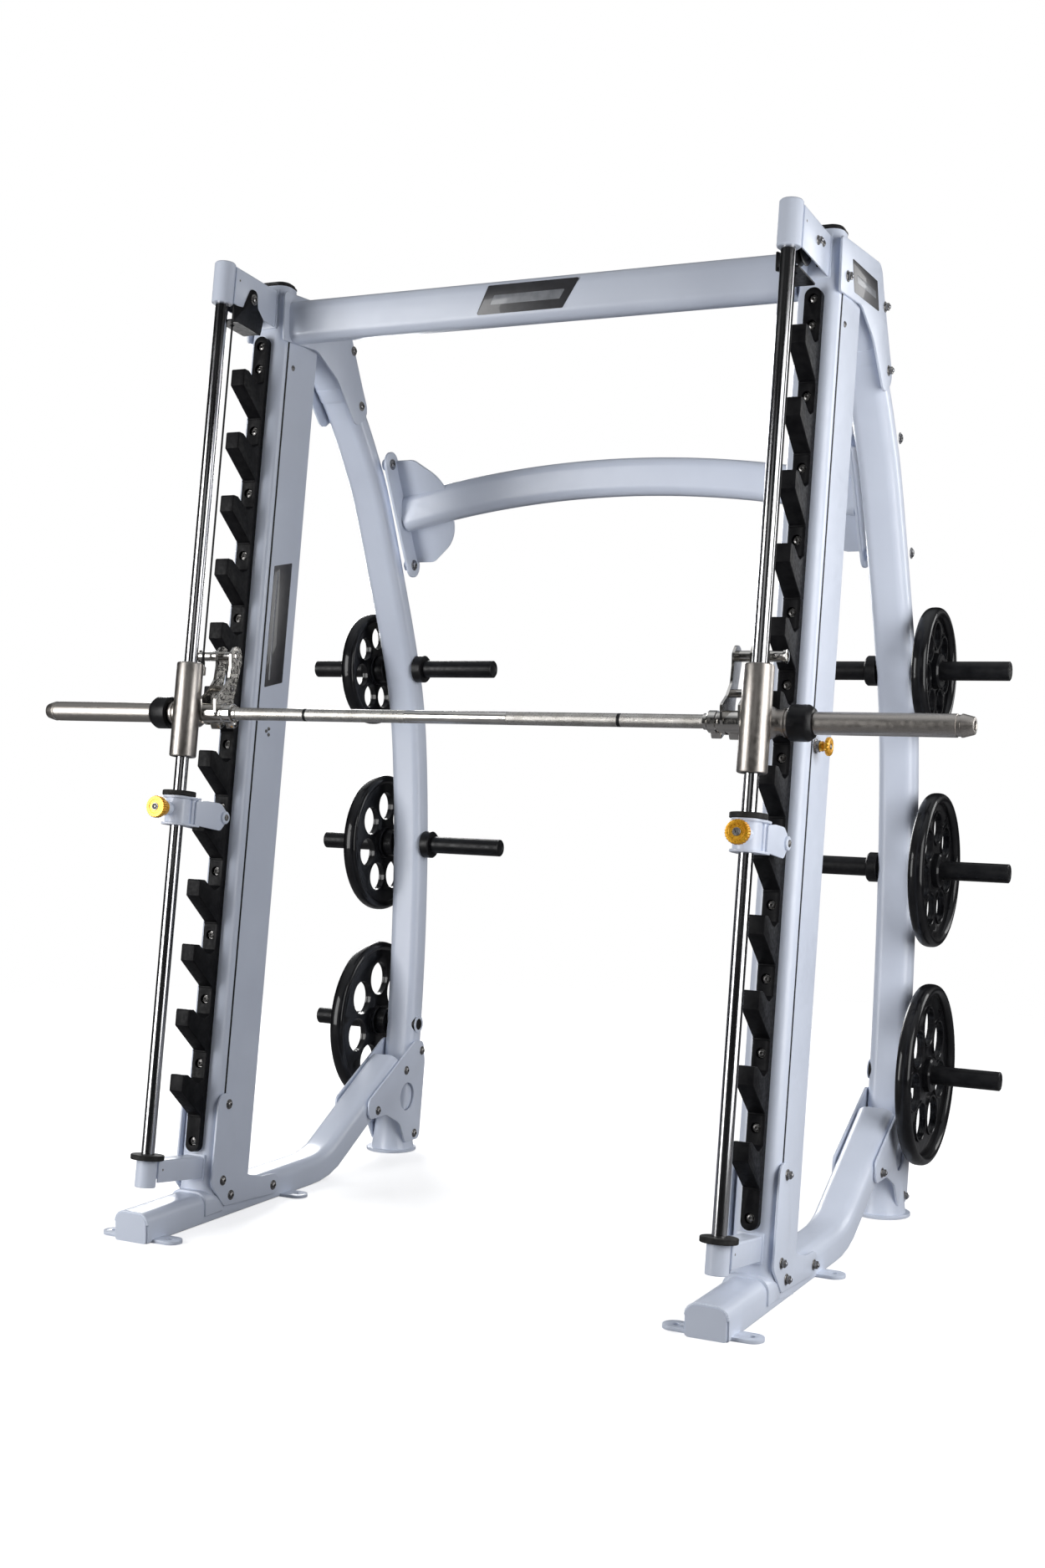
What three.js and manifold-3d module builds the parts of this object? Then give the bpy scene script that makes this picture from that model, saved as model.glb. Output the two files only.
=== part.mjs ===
// Smith machine: a barbell whose two carriages slide on leaning chrome guide rods, with hook racks behind the
// rods, counterweights in the uprights, adjustable safety stops and plate storage pegs on curved rear posts.
// Millimetres, +Z up, X across the machine, +Y towards the rear posts, floor at Z = 0. Each side frame is built
// once for the right side (X is the distance from the machine's middle) and mirrored for the left.
import * as THREE from "three";
import { mergeVertices } from "three/addons/utils/BufferGeometryUtils.js";
import Module from "manifold-3d";

const wasm = await Module();
wasm.setup();

// ---------------------------------------------------------------- driving dimensions
const GAP = 0.3; // between touching pieces
const HALF_SPAN = 721; // middle of the machine to the middle of a side frame
const RAIL_LEAN = THREE.MathUtils.degToRad(7.3); // the guide rods lean back
const RAIL_FOOT = { y: 18.08, z: 197.76 }; // guide rod's axis at the top of its lower boss

const TUBE = { width: 96, depth: 70, corner: 30, wall: 3 }; // flat-oval frame tube
const TUBE_HALF = TUBE.width / 2;
const SHEET = 1.5; // counterweight housing

const ROD_R = 15.875;
const ROD_BORE = 16.3;
const ROD = { bottom: -74.7, top: 2171.7 };
const BOSS = { topR: 26, bottomR: 25, topFrom: 2075, topTo: 2176, bottomFrom: -78, bottomTo: -13 };
const ARM = { halfWidth: 26, wall: 4, topFrom: 2078, topTo: 2171, bottomFrom: -66, bottomTo: -13 };
const UPRIGHT = { front: 200, rear: 270, middle: 235, foot: -130, top: 2189 };
const HOUSING = { front: 238, rear: 375, top: 2060, half: TUBE_HALF + GAP + SHEET };
const POP = { n: 256, s: 1047, out: HOUSING.half }; // spring pin through the housing's outer face

const RACK = { half: 19.5, back: 199.7, pad: 181, bottom: -3, top: 2050 };
const HOOK = { count: 12, pitch: 159.2, highest: 1940, front: 92, tipHeight: 41, drop: 101.5 };

const BAR = { n: 34.7, s: 1067.6, r: 15, bore: 15.6, shaftEnd: 1150 };
const SLEEVE = { r: 24.1, from: 838, to: 1168 };
const BAR_COLLAR = { r: 39, from: 786.3, to: 837.7 };
const CARRIAGE = { r: 32.5, from: 956, to: 1185 };
const LATCH = { y: 115, z: 101.5, pinR: 12, flangeR: 15, release: THREE.MathUtils.degToRad(32.5) };

const STOP = { low: 790, high: 860.7, middle: 827, discR: 40.5, disc: 12 };
const PULLEY = { n: 91, s: 2111.6, cableR: 41, groove: 36.5, rimR: 44, half: 8 };
const SHOE = { n: 302, s: 2020, r: 21.2 }; // fixed round shoe that turns the cable down to the counterweight
const CABLE_R = 2.5;
const WEIGHT = { half: 40, front: 285, rear: 350, from: 900, to: 1300 };

const BASE = { top: 72, front: -47, bend: 772, end: 1165, slope: THREE.MathUtils.degToRad(29) };
const EAR = { inner: 610, outer: 829, halfWidth: 27, thick: 8, hole: 7 };
const EAR_HOLES = [640.6, 803];
const EAR_ROWS = [0, 557.6];
const FOOT = { y: 1214, r: 72, thick: 8, offset: 6 };
const POST_PATH = [
  [1215.5, 0],
  [1236, 150],
  [1262, 300],
  [1284, 600],
  [1287, 900],
  [1271, 1150],
  [1244, 1310],
  [1193, 1465],
  [1126, 1629],
  [1028, 1854],
  [963, 1962],
  [888, 2064],
  [805, 2150],
  [700, 2222],
  [576, 2258],
];
const PEG = { r: 24.1, bore: 20, outer: 1007, inner: 427, stub: 669, collarR: 38.5, collar: 27.4, sides: 10 };
const PEG_HEIGHTS = { top: [1221, 1395.5], middle: [1287, 888], low: [1264, 363] };
const PLATES = [
  { name: "weight_25", at: "top", r: 160 },
  { name: "weight_35", at: "middle", r: 198 },
  { name: "weight_45", at: "low", r: 232.5 },
];
const PLATE = { from: 797.4, thick: 40, web: 16, rim: 27, hub: 44, bore: 24.9, holes: 7 };

const GUSSET = { inner: TUBE_HALF + 2.1, thick: 6, boltR: 5, holeR: 5.6 };
const BOLTS = {
  base: [
    [277.6, 283.6],
    [254.1, 96.4],
    [484.1, 40.9],
  ],
  top: [
    [523.9, 2240.3],
    [866.8, 2090.5],
  ],
  rear: [
    [1276, 285],
    [1024, 148],
  ],
};
const TOP_BAR = { front: 500, rear: 570, bottom: 2199, top: 2303 };
const REAR_BAR = { y: 1103, crown: 1900, ends: 1825, half: 664.5, height: 98 };
const BRACKET = { from: [1011, 1952], to: [1145, 1686], half: 34, thick: 8, finR: 150 };

// ---------------------------------------------------------------- materials
const finish = (color, roughness, metalness) =>
  new THREE.MeshStandardMaterial({ color, roughness, metalness });
const POWDER = finish(0xd5dbe9, 0.42, 0.1);
const CHROME = finish(0xd9d9dc, 0.08, 1);
const NICKEL = finish(0x9c968f, 0.34, 1);
const BLACK_CAST = finish(0x121214, 0.5, 0.2);
const BLACK_GLOSS = finish(0x0b0b0c, 0.22, 0.1);
const BLACK_STEEL = finish(0x17171a, 0.45, 0.5);
const RUBBER = finish(0x151516, 0.85, 0);
const AMBER = finish(0xe59a1c, 0.3, 0.7);
const CAST_WEIGHT = finish(0x3a3b3d, 0.7, 0.6);
const CABLE = finish(0x1d1d1f, 0.5, 0.1);

// ---------------------------------------------------------------- geometry helpers
/** A closed geometry as a manifold-3d solid, for joining and cutting. */
function toSolid(geometry) {
  const bare = geometry.index ? geometry.toNonIndexed() : geometry.clone();
  bare.deleteAttribute("normal");
  bare.deleteAttribute("uv");
  const merged = mergeVertices(bare, 1e-3);
  return new wasm.Manifold(
    new wasm.Mesh({
      numProp: 3,
      vertProperties: new Float32Array(merged.attributes.position.array),
      triVerts: new Uint32Array(merged.index.array),
    }),
  );
}

/** A manifold-3d solid as a geometry. */
function toGeometry(solid) {
  const mesh = solid.getMesh();
  const geometry = new THREE.BufferGeometry();
  geometry.setAttribute("position", new THREE.BufferAttribute(mesh.vertProperties, 3));
  geometry.setIndex(new THREE.BufferAttribute(mesh.triVerts, 1));
  return geometry;
}

const join = (...parts) => toGeometry(parts.map(toSolid).reduce((a, b) => a.add(b)));
const cut = (body, ...tools) =>
  toGeometry(tools.map(toSolid).reduce((a, b) => a.subtract(b), toSolid(body)));
const overlap = (a, b) => toGeometry(toSolid(a).intersect(toSolid(b)));

/** Adds an outline with rounded corners to a Shape or Path: points are [u, v] or [u, v, corner radius]. */
function trace(path, points) {
  const count = points.length;
  points.forEach(([u, v, radius = 0], i) => {
    const here = new THREE.Vector2(u, v);
    const before = new THREE.Vector2(...points[(i + count - 1) % count].slice(0, 2)).sub(here);
    const after = new THREE.Vector2(...points[(i + 1) % count].slice(0, 2)).sub(here);
    const reach = Math.min(radius, before.length() * 0.49, after.length() * 0.49);
    const start = before.setLength(reach).add(here);
    if (i === 0) path.moveTo(start.x, start.y);
    else path.lineTo(start.x, start.y);
    if (reach > 0) path.quadraticCurveTo(u, v, ...after.setLength(reach).add(here).toArray());
  });
  path.closePath();
  return path;
}

const outline = (points) => trace(new THREE.Shape(), points);

/** A rectangle's corners around a centre, each rounded by the same radius. */
function rectangle(u, v, width, height, radius = 0) {
  const [a, b] = [width / 2, height / 2];
  return [
    [u - a, v - b, radius],
    [u + a, v - b, radius],
    [u + a, v + b, radius],
    [u - a, v + b, radius],
  ];
}

/** Points around a circle given as [u, v, radius]. */
function circle([u, v, radius], count) {
  return Array.from({ length: count }, (_, i) => {
    const angle = (i * 2 * Math.PI) / count;
    return [u + radius * Math.cos(angle), v + radius * Math.sin(angle)];
  });
}

/** A flat-oval tube's hollow section. */
function tubeSection(u, v, width, depth) {
  const shape = outline(rectangle(u, v, width, depth, TUBE.corner));
  const inside = rectangle(u, v, width - 2 * TUBE.wall, depth - 2 * TUBE.wall, TUBE.corner - TUBE.wall);
  shape.holes.push(trace(new THREE.Path(), inside));
  return shape;
}

/** A shape of (y, z) points carried along X, of (x, z) points along Y, or of (x, y) points along Z. */
function prism(axis, shape, from, to, segments = 2) {
  const options = { depth: to - from, bevelEnabled: false, curveSegments: segments };
  const geometry = new THREE.ExtrudeGeometry(shape, options);
  const [x, y, z] = [new THREE.Vector3(1, 0, 0), new THREE.Vector3(0, 1, 0), new THREE.Vector3(0, 0, 1)];
  const turn = new THREE.Matrix4();
  if (axis === "x") turn.makeBasis(y, z, x).setPosition(from, 0, 0);
  if (axis === "y") turn.makeBasis(x, z, y.clone().negate()).setPosition(0, to, 0);
  if (axis === "z") turn.makeBasis(x, y, z).setPosition(0, 0, from);
  return geometry.applyMatrix4(turn);
}

function box(x, y, z) {
  const geometry = new THREE.BoxGeometry(x[1] - x[0], y[1] - y[0], z[1] - z[0]);
  return geometry.translate((x[0] + x[1]) / 2, (y[0] + y[1]) / 2, (z[0] + z[1]) / 2);
}

/** A solid of revolution about an axis through centre (the other two coordinates, in X, Y, Z order). */
function turned(axis, profile, centre, segments = 14) {
  const points = profile.map(([radius, along]) => new THREE.Vector2(radius, along));
  if (THREE.ShapeUtils.area(points) < 0) points.reverse();
  if (points.some((p) => p.x > 0) && !(points[0].x === 0 && points.at(-1).x === 0)) {
    points.push(points[0].clone());
  }
  const geometry = new THREE.LatheGeometry(points, segments);
  if (axis === "x") return geometry.rotateZ(-Math.PI / 2).translate(0, centre[0], centre[1]);
  if (axis === "y") return geometry.translate(centre[0], 0, centre[1]);
  return geometry.rotateX(Math.PI / 2).translate(centre[0], centre[1], 0);
}

/** A plain round bar. */
function round(axis, radius, from, to, centre, segments = 14) {
  const profile = [
    [0, from],
    [radius, from],
    [radius, to],
    [0, to],
  ];
  return turned(axis, profile, centre, segments);
}

/** A ring with a bore. */
function ring(axis, radius, bore, from, to, centre, segments = 14) {
  const profile = [
    [bore, from],
    [radius, from],
    [radius, to],
    [bore, to],
  ];
  return turned(axis, profile, centre, segments);
}

/** A path whose extrusion has one section at each given point and nowhere else. */
class KnotPath extends THREE.Curve {
  constructor(points) {
    super();
    this.points = points;
  }
  get steps() {
    return this.points.length - 1;
  }
  getPointAt(u) {
    return this.points[Math.round(u * this.steps)].clone();
  }
  getTangentAt(u) {
    const i = Math.round(u * this.steps);
    const way = (a, b) => b.clone().sub(a).normalize();
    const into = way(this.points[Math.max(i - 1, 0)], this.points[Math.max(i, 1)]);
    const out = way(this.points[Math.min(i, this.steps - 1)], this.points[Math.min(i + 1, this.steps)]);
    return into.add(out).normalize();
  }
}

function sweep(shape, points, segments = 2) {
  const path = new KnotPath(points);
  const options = { steps: path.steps, extrudePath: path, bevelEnabled: false, curveSegments: segments };
  return new THREE.ExtrudeGeometry(shape, options);
}

/** Puts a geometry drawn in side-frame coordinates into those of the leaning rail. */
function intoRail(geometry) {
  const rail = new THREE.Matrix4().makeRotationX(-RAIL_LEAN);
  rail.setPosition(HALF_SPAN, RAIL_FOOT.y, RAIL_FOOT.z);
  return geometry.applyMatrix4(rail.invert());
}

const boltHoles = (bolts) =>
  bolts.map((at) => round("x", GUSSET.holeR, HALF_SPAN - 60, HALF_SPAN + 60, at, 6));

// ---------------------------------------------------------------- base, post and gussets (side frame)
/** Flat tube on the floor that rises at the back, with an end plate and two rows of bolt-down ears. */
function baseTube() {
  const middle = BASE.top / 2;
  const rise = (BASE.end - BASE.bend) * Math.tan(BASE.slope);
  const bend = 60;
  const at = (y, z) => new THREE.Vector3(HALF_SPAN, y, z);
  const path = [
    at(BASE.front, middle),
    at(BASE.bend - bend, middle),
    at(BASE.bend - bend * 0.2, middle + bend * 0.1),
    at(BASE.bend + bend * 0.3, middle + bend * 0.26),
    at(BASE.bend + bend, middle + bend * Math.tan(BASE.slope)),
    at(BASE.end, middle + rise),
  ];
  const tube = sweep(tubeSection(0, 0, BASE.top, TUBE.width), path);
  const endPlate = prism(
    "y",
    outline(rectangle(HALF_SPAN, middle, TUBE.width, BASE.top, TUBE.corner)),
    BASE.front,
    BASE.front + TUBE.wall,
  );
  const ears = EAR_ROWS.map((y) => {
    const length = EAR.outer - EAR.inner;
    const corners = rectangle((EAR.outer + EAR.inner) / 2, y, length, 2 * EAR.halfWidth, EAR.halfWidth);
    const plate = prism("z", outline(corners), 0, EAR.thick, 3);
    const holes = EAR_HOLES.map((x) => round("z", EAR.hole, -1, EAR.thick + 1, [x, y], 8));
    return cut(plate, ...holes);
  });
  return cut(join(tube, endPlate, ...ears), ...boltHoles([BOLTS.base[2], BOLTS.rear[1]]));
}

/** Curved rear post with its foot disc, and holes for the pegs and the gussets' bolts. */
function post() {
  const path = POST_PATH.map(([y, z]) => new THREE.Vector3(HALF_SPAN, y, z));
  const tube = sweep(tubeSection(0, 0, TUBE.width, TUBE.depth), path);
  const foot = round("z", FOOT.r, 0, FOOT.thick, [HALF_SPAN + FOOT.offset, FOOT.y], 16);
  const pegHoles = Object.values(PEG_HEIGHTS).map((at) =>
    round("x", PEG.r + 0.5, HALF_SPAN - 60, HALF_SPAN + 60, at, PEG.sides),
  );
  const belowFloor = box(
    [HALF_SPAN - TUBE.width, HALF_SPAN + TUBE.width],
    [FOOT.y - TUBE.width, FOOT.y + TUBE.width],
    [-20, 0],
  );
  return cut(join(tube, foot), belowFloor, ...pegHoles, ...boltHoles([BOLTS.top[1], BOLTS.rear[0]]));
}

/** A pair of plates either side of the tubes, joined by their through bolts. */
function gusset(points, bolts, opening) {
  const [near, far] = [GUSSET.inner, GUSSET.inner + GUSSET.thick];
  const shape = outline(points);
  if (opening) shape.holes.push(trace(new THREE.Path(), circle(opening, 12)));
  const inner = prism("x", shape, HALF_SPAN - far, HALF_SPAN - near);
  const outer = prism("x", shape, HALF_SPAN + near, HALF_SPAN + far);
  const pins = bolts.map((at) =>
    round("x", GUSSET.boltR, HALF_SPAN - near - 1, HALF_SPAN + near + 1, at, 6),
  );
  return join(inner, outer, ...pins);
}

const baseGusset = () =>
  gusset(
    [
      [206, 92, 20],
      [236, 312, 28],
      [294, 312, 28],
      [312, 160, 30],
      [360, 92, 40],
      [430, 74, 30],
      [512, 68, 26],
      [510, 16, 24],
      [262, 30, 22],
    ],
    BOLTS.base,
  );

const topGusset = () =>
  gusset(
    [
      [476, 2199, 8],
      [480, 2322, 14],
      [788, 2322, 40],
      [812, 2262, 30],
      [862, 2133, 30],
      [892, 2064, 24],
      [838, 2054, 20],
      [729, 2155, 90],
      [640, 2199, 60],
    ],
    BOLTS.top,
  );

const rearGusset = () =>
  gusset(
    [
      [972, 128, 20],
      [976, 182, 20],
      [1100, 246, 40],
      [1240, 318, 20],
      [1286, 312, 20],
      [1296, 250, 30],
      [1268, 28, 20],
      [1186, 30, 14],
      [1150, 92, 40],
      [1072, 128, 40],
    ],
    BOLTS.rear,
    [1193, 162, 40],
  );

// ---------------------------------------------------------------- upright, housing and rack (rail frame)
/** Upright tube with the arms and bosses that hold the guide rod. */
function upright() {
  const length = [UPRIGHT.foot, UPRIGHT.top];
  const tube = prism("z", tubeSection(0, UPRIGHT.middle, TUBE.width, TUBE.depth), ...length);
  const channel = (from, to, boss) => {
    const arm = box([-ARM.halfWidth, ARM.halfWidth], [18, UPRIGHT.front + 1], [from, to]);
    const inside = ARM.halfWidth - ARM.wall;
    const hollow = box([-inside, inside], [30, UPRIGHT.front - 0.1], [from - 1, to - ARM.wall]);
    return join(cut(arm, hollow), boss);
  };
  const topBoss = round("z", BOSS.topR, BOSS.topFrom, BOSS.topTo, [0, 0]);
  const bottomBoss = round("z", BOSS.bottomR, BOSS.bottomFrom, BOSS.bottomTo, [0, 0]);
  const rodSpace = round("z", ROD_BORE, ROD.bottom - GAP, ROD.top + GAP, [0, 0]);
  const belowBase = intoRail(box([500, 900], [-100, 600], [-200, BASE.top + GAP]));
  const axleAt = [PULLEY.n, PULLEY.s];
  const axleHole = round("x", 6.3, -ARM.halfWidth - 1, 1 + ARM.wall - ARM.halfWidth, axleAt, 12);
  const pinHole = round("x", 5, TUBE_HALF - 20, TUBE_HALF + 1, [POP.n, POP.s], 10);
  const cableSlot = box([-6, 6], [UPRIGHT.front - 5, UPRIGHT.rear + 5], [2050, 2112]);
  const bolts = boltHoles([...BOLTS.base.slice(0, 2), BOLTS.top[0]]).map(intoRail);
  return cut(
    join(
      tube,
      channel(ARM.topFrom, ARM.topTo, topBoss),
      channel(ARM.bottomFrom, ARM.bottomTo, bottomBoss),
    ),
    rodSpace,
    belowBase,
    axleHole,
    pinHole,
    cableSlot,
    ...bolts,
  );
}

/** Sheet housing behind the upright, open at the front, with the shoe that turns the cable down. */
function weightHousing(withPin) {
  const [half, inside] = [HOUSING.half, HOUSING.half - SHEET];
  const wall = outline([
    [-half, HOUSING.front],
    [-inside, HOUSING.front],
    [-inside, HOUSING.rear - SHEET, 8],
    [inside, HOUSING.rear - SHEET, 8],
    [inside, HOUSING.front],
    [half, HOUSING.front],
    [half, HOUSING.rear, 9],
    [-half, HOUSING.rear, 9],
  ]);
  const axle = round("x", 6, -half, half, [SHOE.n, SHOE.s], 10);
  const shoe = round("x", SHOE.r, -10, 10, [SHOE.n, SHOE.s], 16);
  const belowBase = intoRail(box([500, 900], [-100, 600], [-200, BASE.top + GAP]));
  const bolts = boltHoles(BOLTS.base.slice(0, 2)).map(intoRail);
  const sheet = join(prism("z", wall, UPRIGHT.foot, HOUSING.top), axle, shoe);
  const pinHole = round("x", 5, half - 5, half + 5, [POP.n, POP.s], 10);
  const housing = cut(sheet, belowBase, ...bolts);
  return withPin ? join(cut(housing, pinHole), popBarrel()) : housing;
}

/** Profile of one hook in (n, s), from the pad above it down to the pad below it. */
function hookProfile(tip) {
  return [
    [RACK.pad, tip - 9],
    [172, tip - 17],
    [160, tip - 21.5],
    [148, tip - 20],
    [113, tip],
    [HOOK.front + 3, tip],
    [HOOK.front, tip - 3],
    [HOOK.front, tip - HOOK.tipHeight],
    [RACK.pad, tip - HOOK.drop],
  ];
}

/** One cast strip of hooks with rounded ends. */
function rack() {
  const tips = Array.from({ length: HOOK.count }, (_, i) => HOOK.highest - HOOK.pitch * i);
  const profile = outline([
    [RACK.back, RACK.bottom - 10],
    [RACK.back, RACK.top + 10],
    [RACK.pad, RACK.top + 10],
    ...tips.flatMap(hookProfile),
    [RACK.pad, RACK.bottom - 10],
  ]);
  const strip = prism("x", profile, -RACK.half, RACK.half);
  const length = RACK.top - RACK.bottom;
  const ends = rectangle(0, (RACK.top + RACK.bottom) / 2, 2 * RACK.half, length, RACK.half);
  return overlap(strip, prism("y", outline(ends), HOOK.front - 10, RACK.back + 10, 4));
}

const guideRod = () => round("z", ROD_R, ROD.bottom, ROD.top, [0, 0]);
const rodCollar = () => ring("z", 40.5, ROD_BORE, -12.7, -GAP, [0, 0]);

/** Cheek plate beside the top arm with the pulley's axle. */
function pulleyGuard() {
  const cheek = outline([
    [12, 2030, 4],
    [8, 2072, 4],
    [52, 2080, 8],
    [66, 2112, 12],
    [78, 2136, 14],
    [104, 2136, 14],
    [112, 2096, 10],
    [140, 2076, 6],
    [132, 2034, 4],
    [34, 2036, 2],
  ]);
  const plate = prism("x", cheek, -ARM.halfWidth - GAP - 4, -ARM.halfWidth - GAP);
  const floor = box([-ARM.halfWidth - GAP - 1, 20], [58, 130], [2036, 2040]);
  const axle = round("x", 6, -ARM.halfWidth - 2, ARM.halfWidth - ARM.wall - GAP, [PULLEY.n, PULLEY.s], 12);
  return join(plate, floor, axle);
}

/** Grooved pulley wheel. */
function pulley() {
  const profile = [
    [6.3, -PULLEY.half],
    [PULLEY.rimR, -PULLEY.half],
    [PULLEY.rimR, -PULLEY.half + 2],
    [PULLEY.groove, -2],
    [PULLEY.groove, 2],
    [PULLEY.rimR, PULLEY.half - 2],
    [PULLEY.rimR, PULLEY.half],
    [6.3, PULLEY.half],
  ];
  return turned("x", profile, [PULLEY.n, PULLEY.s]);
}

/** Counterbalance cable: from the carriage over the pulley and the shoe, down to the counterweight. */
function cable() {
  const turn = SHOE.r + CABLE_R + GAP;
  const slope = Math.atan2(PULLEY.s - SHOE.s, SHOE.n - PULLEY.n);
  const reach = Math.hypot(PULLEY.s - SHOE.s, SHOE.n - PULLEY.n);
  const leave = Math.PI / 2 - slope + Math.asin((turn - PULLEY.cableR) / reach);
  const arc = (centre, radius, from, to, count) =>
    Array.from({ length: count + 1 }, (_, i) => {
      const angle = from + ((to - from) * i) / count;
      return new THREE.Vector3(0, centre.n + radius * Math.cos(angle), centre.s + radius * Math.sin(angle));
    });
  const points = [
    new THREE.Vector3(0, PULLEY.n - PULLEY.cableR, CARRIAGE.to + GAP),
    ...arc(PULLEY, PULLEY.cableR, Math.PI, leave, 5),
    ...arc(SHOE, turn, leave, 0, 4),
    new THREE.Vector3(0, SHOE.n + turn, WEIGHT.to + GAP),
  ];
  return sweep(outline(circle([0, 0, CABLE_R], 6)), points);
}

const counterweight = () =>
  box([-WEIGHT.half, WEIGHT.half], [WEIGHT.front, WEIGHT.rear], [WEIGHT.from, WEIGHT.to]);

// ---------------------------------------------------------------- carriage, bar and latch
/** Linear bearing housing on the guide rod, with the tapered cross housing that holds the bar. */
function carriage() {
  const body = round("z", CARRIAGE.r, CARRIAGE.from, CARRIAGE.to, [0, 0], 20);
  const hub = turned(
    "x",
    [
      [0, -26],
      [25, -26],
      [34, -12],
      [36, 22],
      [28, 34],
      [27, 65],
      [0, 65],
    ],
    [BAR.n, BAR.s],
  );
  const lug = box([-8, 8], [20, 56], [CARRIAGE.to - 22, CARRIAGE.to]);
  const rodBore = round("z", ROD_BORE, CARRIAGE.from - 1, CARRIAGE.to + 1, [0, 0]);
  const barBore = round("x", BAR.bore, -30, 70, [BAR.n, BAR.s]);
  return cut(join(body, hub, lug), rodBore, barBore);
}

/** Curved twin-plate arm clamped on the bar, with the pin that rests on the hooks; origin on the bar. */
function latchArm() {
  const plate = outline([
    [-18, -22, 12],
    [-26, 12, 14],
    [-12, 46, 6],
    [26, 50, 14],
    [60, 64, 14],
    [82, 92, 12],
    [94, 118, 12],
    [118, 128, 14],
    [140, 110, 16],
    [130, 82, 12],
    [98, 50, 10],
    [62, 14, 20],
    [42, -20, 20],
    [8, -34, 20],
  ]);
  const clamp = round("x", 24, -115, -33, [0, 0]);
  const plates = [-81, -41].map((x) => prism("x", plate, x, x + 6));
  const pin = round("x", LATCH.pinR, -80, 34, [LATCH.y, LATCH.z]);
  const flange = round("x", LATCH.flangeR, 27, 34, [LATCH.y, LATCH.z]);
  const bore = round("x", BAR.bore, -120, 0, [0, 0]);
  return cut(join(clamp, ...plates, pin, flange), bore);
}

const barCollar = () =>
  turned(
    "x",
    [
      [BAR.bore, BAR_COLLAR.from],
      [BAR_COLLAR.r - 5, BAR_COLLAR.from],
      [BAR_COLLAR.r, BAR_COLLAR.from + 6],
      [BAR_COLLAR.r, BAR_COLLAR.to - 14],
      [BAR_COLLAR.r - 9, BAR_COLLAR.to],
      [BAR.bore, BAR_COLLAR.to],
    ],
    [0, 0],
  );

/** Plate-loading sleeve, closed at its outer end, with a groove before its tapered cap. */
const sleeve = () =>
  turned(
    "x",
    [
      [BAR.bore, SLEEVE.from],
      [SLEEVE.r, SLEEVE.from],
      [SLEEVE.r, SLEEVE.to - 35],
      [SLEEVE.r - 2, SLEEVE.to - 34],
      [SLEEVE.r - 2, SLEEVE.to - 27],
      [SLEEVE.r, SLEEVE.to - 26],
      [SLEEVE.r, SLEEVE.to - 10],
      [SLEEVE.r - 4, SLEEVE.to],
      [0, SLEEVE.to],
      [0, BAR.shaftEnd + GAP],
      [BAR.bore, BAR.shaftEnd + GAP],
    ],
    [0, 0],
  );

const barShaft = () => round("x", BAR.r, -BAR.shaftEnd, BAR.shaftEnd, [0, 0]);

// ---------------------------------------------------------------- safety stop and spring pins
/** Stop: a sleeve on the guide rod with two cheeks that straddle the rack and a barrel for the pull knob. */
function stopBracket() {
  const cheek = outline([
    [0, STOP.low + 2, 4],
    [0, STOP.high - 12, 6],
    [70, STOP.high - 6, 20],
    [128, STOP.high - 6, 20],
    [156, STOP.middle + 12, 16],
    [160, STOP.middle - 10, 16],
    [134, STOP.low - 2, 12],
  ]);
  const cheeks = [-37, 31].map((x) => prism("x", cheek, x, x + 6));
  const sleeveBody = round("z", 32, STOP.low, STOP.high, [0, 0]);
  const bridge = box([-36, 36], [1, 38], [STOP.low + 3, STOP.high - 13]);
  const barrel = round("y", 14, -52, 0, [6, STOP.middle], 16);
  const rodBore = round("z", ROD_BORE, STOP.low - 1, STOP.high + 1, [0, 0]);
  const pinBore = round("y", 4.5, -60, -30, [6, STOP.middle], 10);
  return cut(join(sleeveBody, bridge, ...cheeks, barrel), rodBore, pinBore);
}

const stopBumper = () =>
  ring("z", STOP.discR, ROD_BORE, STOP.high + GAP, STOP.high + GAP + STOP.disc, [0, 0]);

/** A pull knob: a pin, a stem and a disc, along an axis; ends are where each begins, then the far face. */
function pullKnob(axis, centre, ends, discR, stemR) {
  const [pin, stem, disc, far] = ends;
  const profile = [
    [0, pin],
    [4, pin],
    [4, stem],
    [stemR, stem],
    [stemR, disc],
    [discR, disc],
    [discR, far],
    [0, far],
  ];
  return turned(axis, profile, centre);
}

const stopKnob = () => pullKnob("y", [6, STOP.middle], [-40, -52.3, -70, -86], 26.5, 19);
const popKnob = () =>
  pullKnob("x", [POP.n, POP.s], [POP.out - 8, POP.out + 12.3, POP.out + 25, POP.out + 36], 21, 12);

/** Ring that the housing's spring pin slides in. */
const popBarrel = () => ring("x", 13, 4.5, POP.out - 0.5, POP.out + 12, [POP.n, POP.s], 16);

// ---------------------------------------------------------------- plate storage
/** Storage peg through the post: a tube with a collar outside the post and, on a long peg, one inside it. */
function peg(inner, at) {
  const [near, far] = [HALF_SPAN - TUBE_HALF - GAP, HALF_SPAN + TUBE_HALF + GAP];
  const innerCollar = [
    [PEG.r, near - PEG.collar],
    [PEG.collarR, near - PEG.collar],
    [PEG.collarR, near],
    [PEG.r, near],
  ];
  const profile = [
    [PEG.bore, inner],
    [PEG.r, inner],
    ...(inner < near - PEG.collar ? innerCollar : []),
    [PEG.r, far],
    [PEG.collarR, far],
    [PEG.collarR, far + PEG.collar],
    [PEG.r, far + PEG.collar],
    [PEG.r, PEG.outer],
    [PEG.bore, PEG.outer],
  ];
  return turned("x", profile, at, PEG.sides);
}

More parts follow.
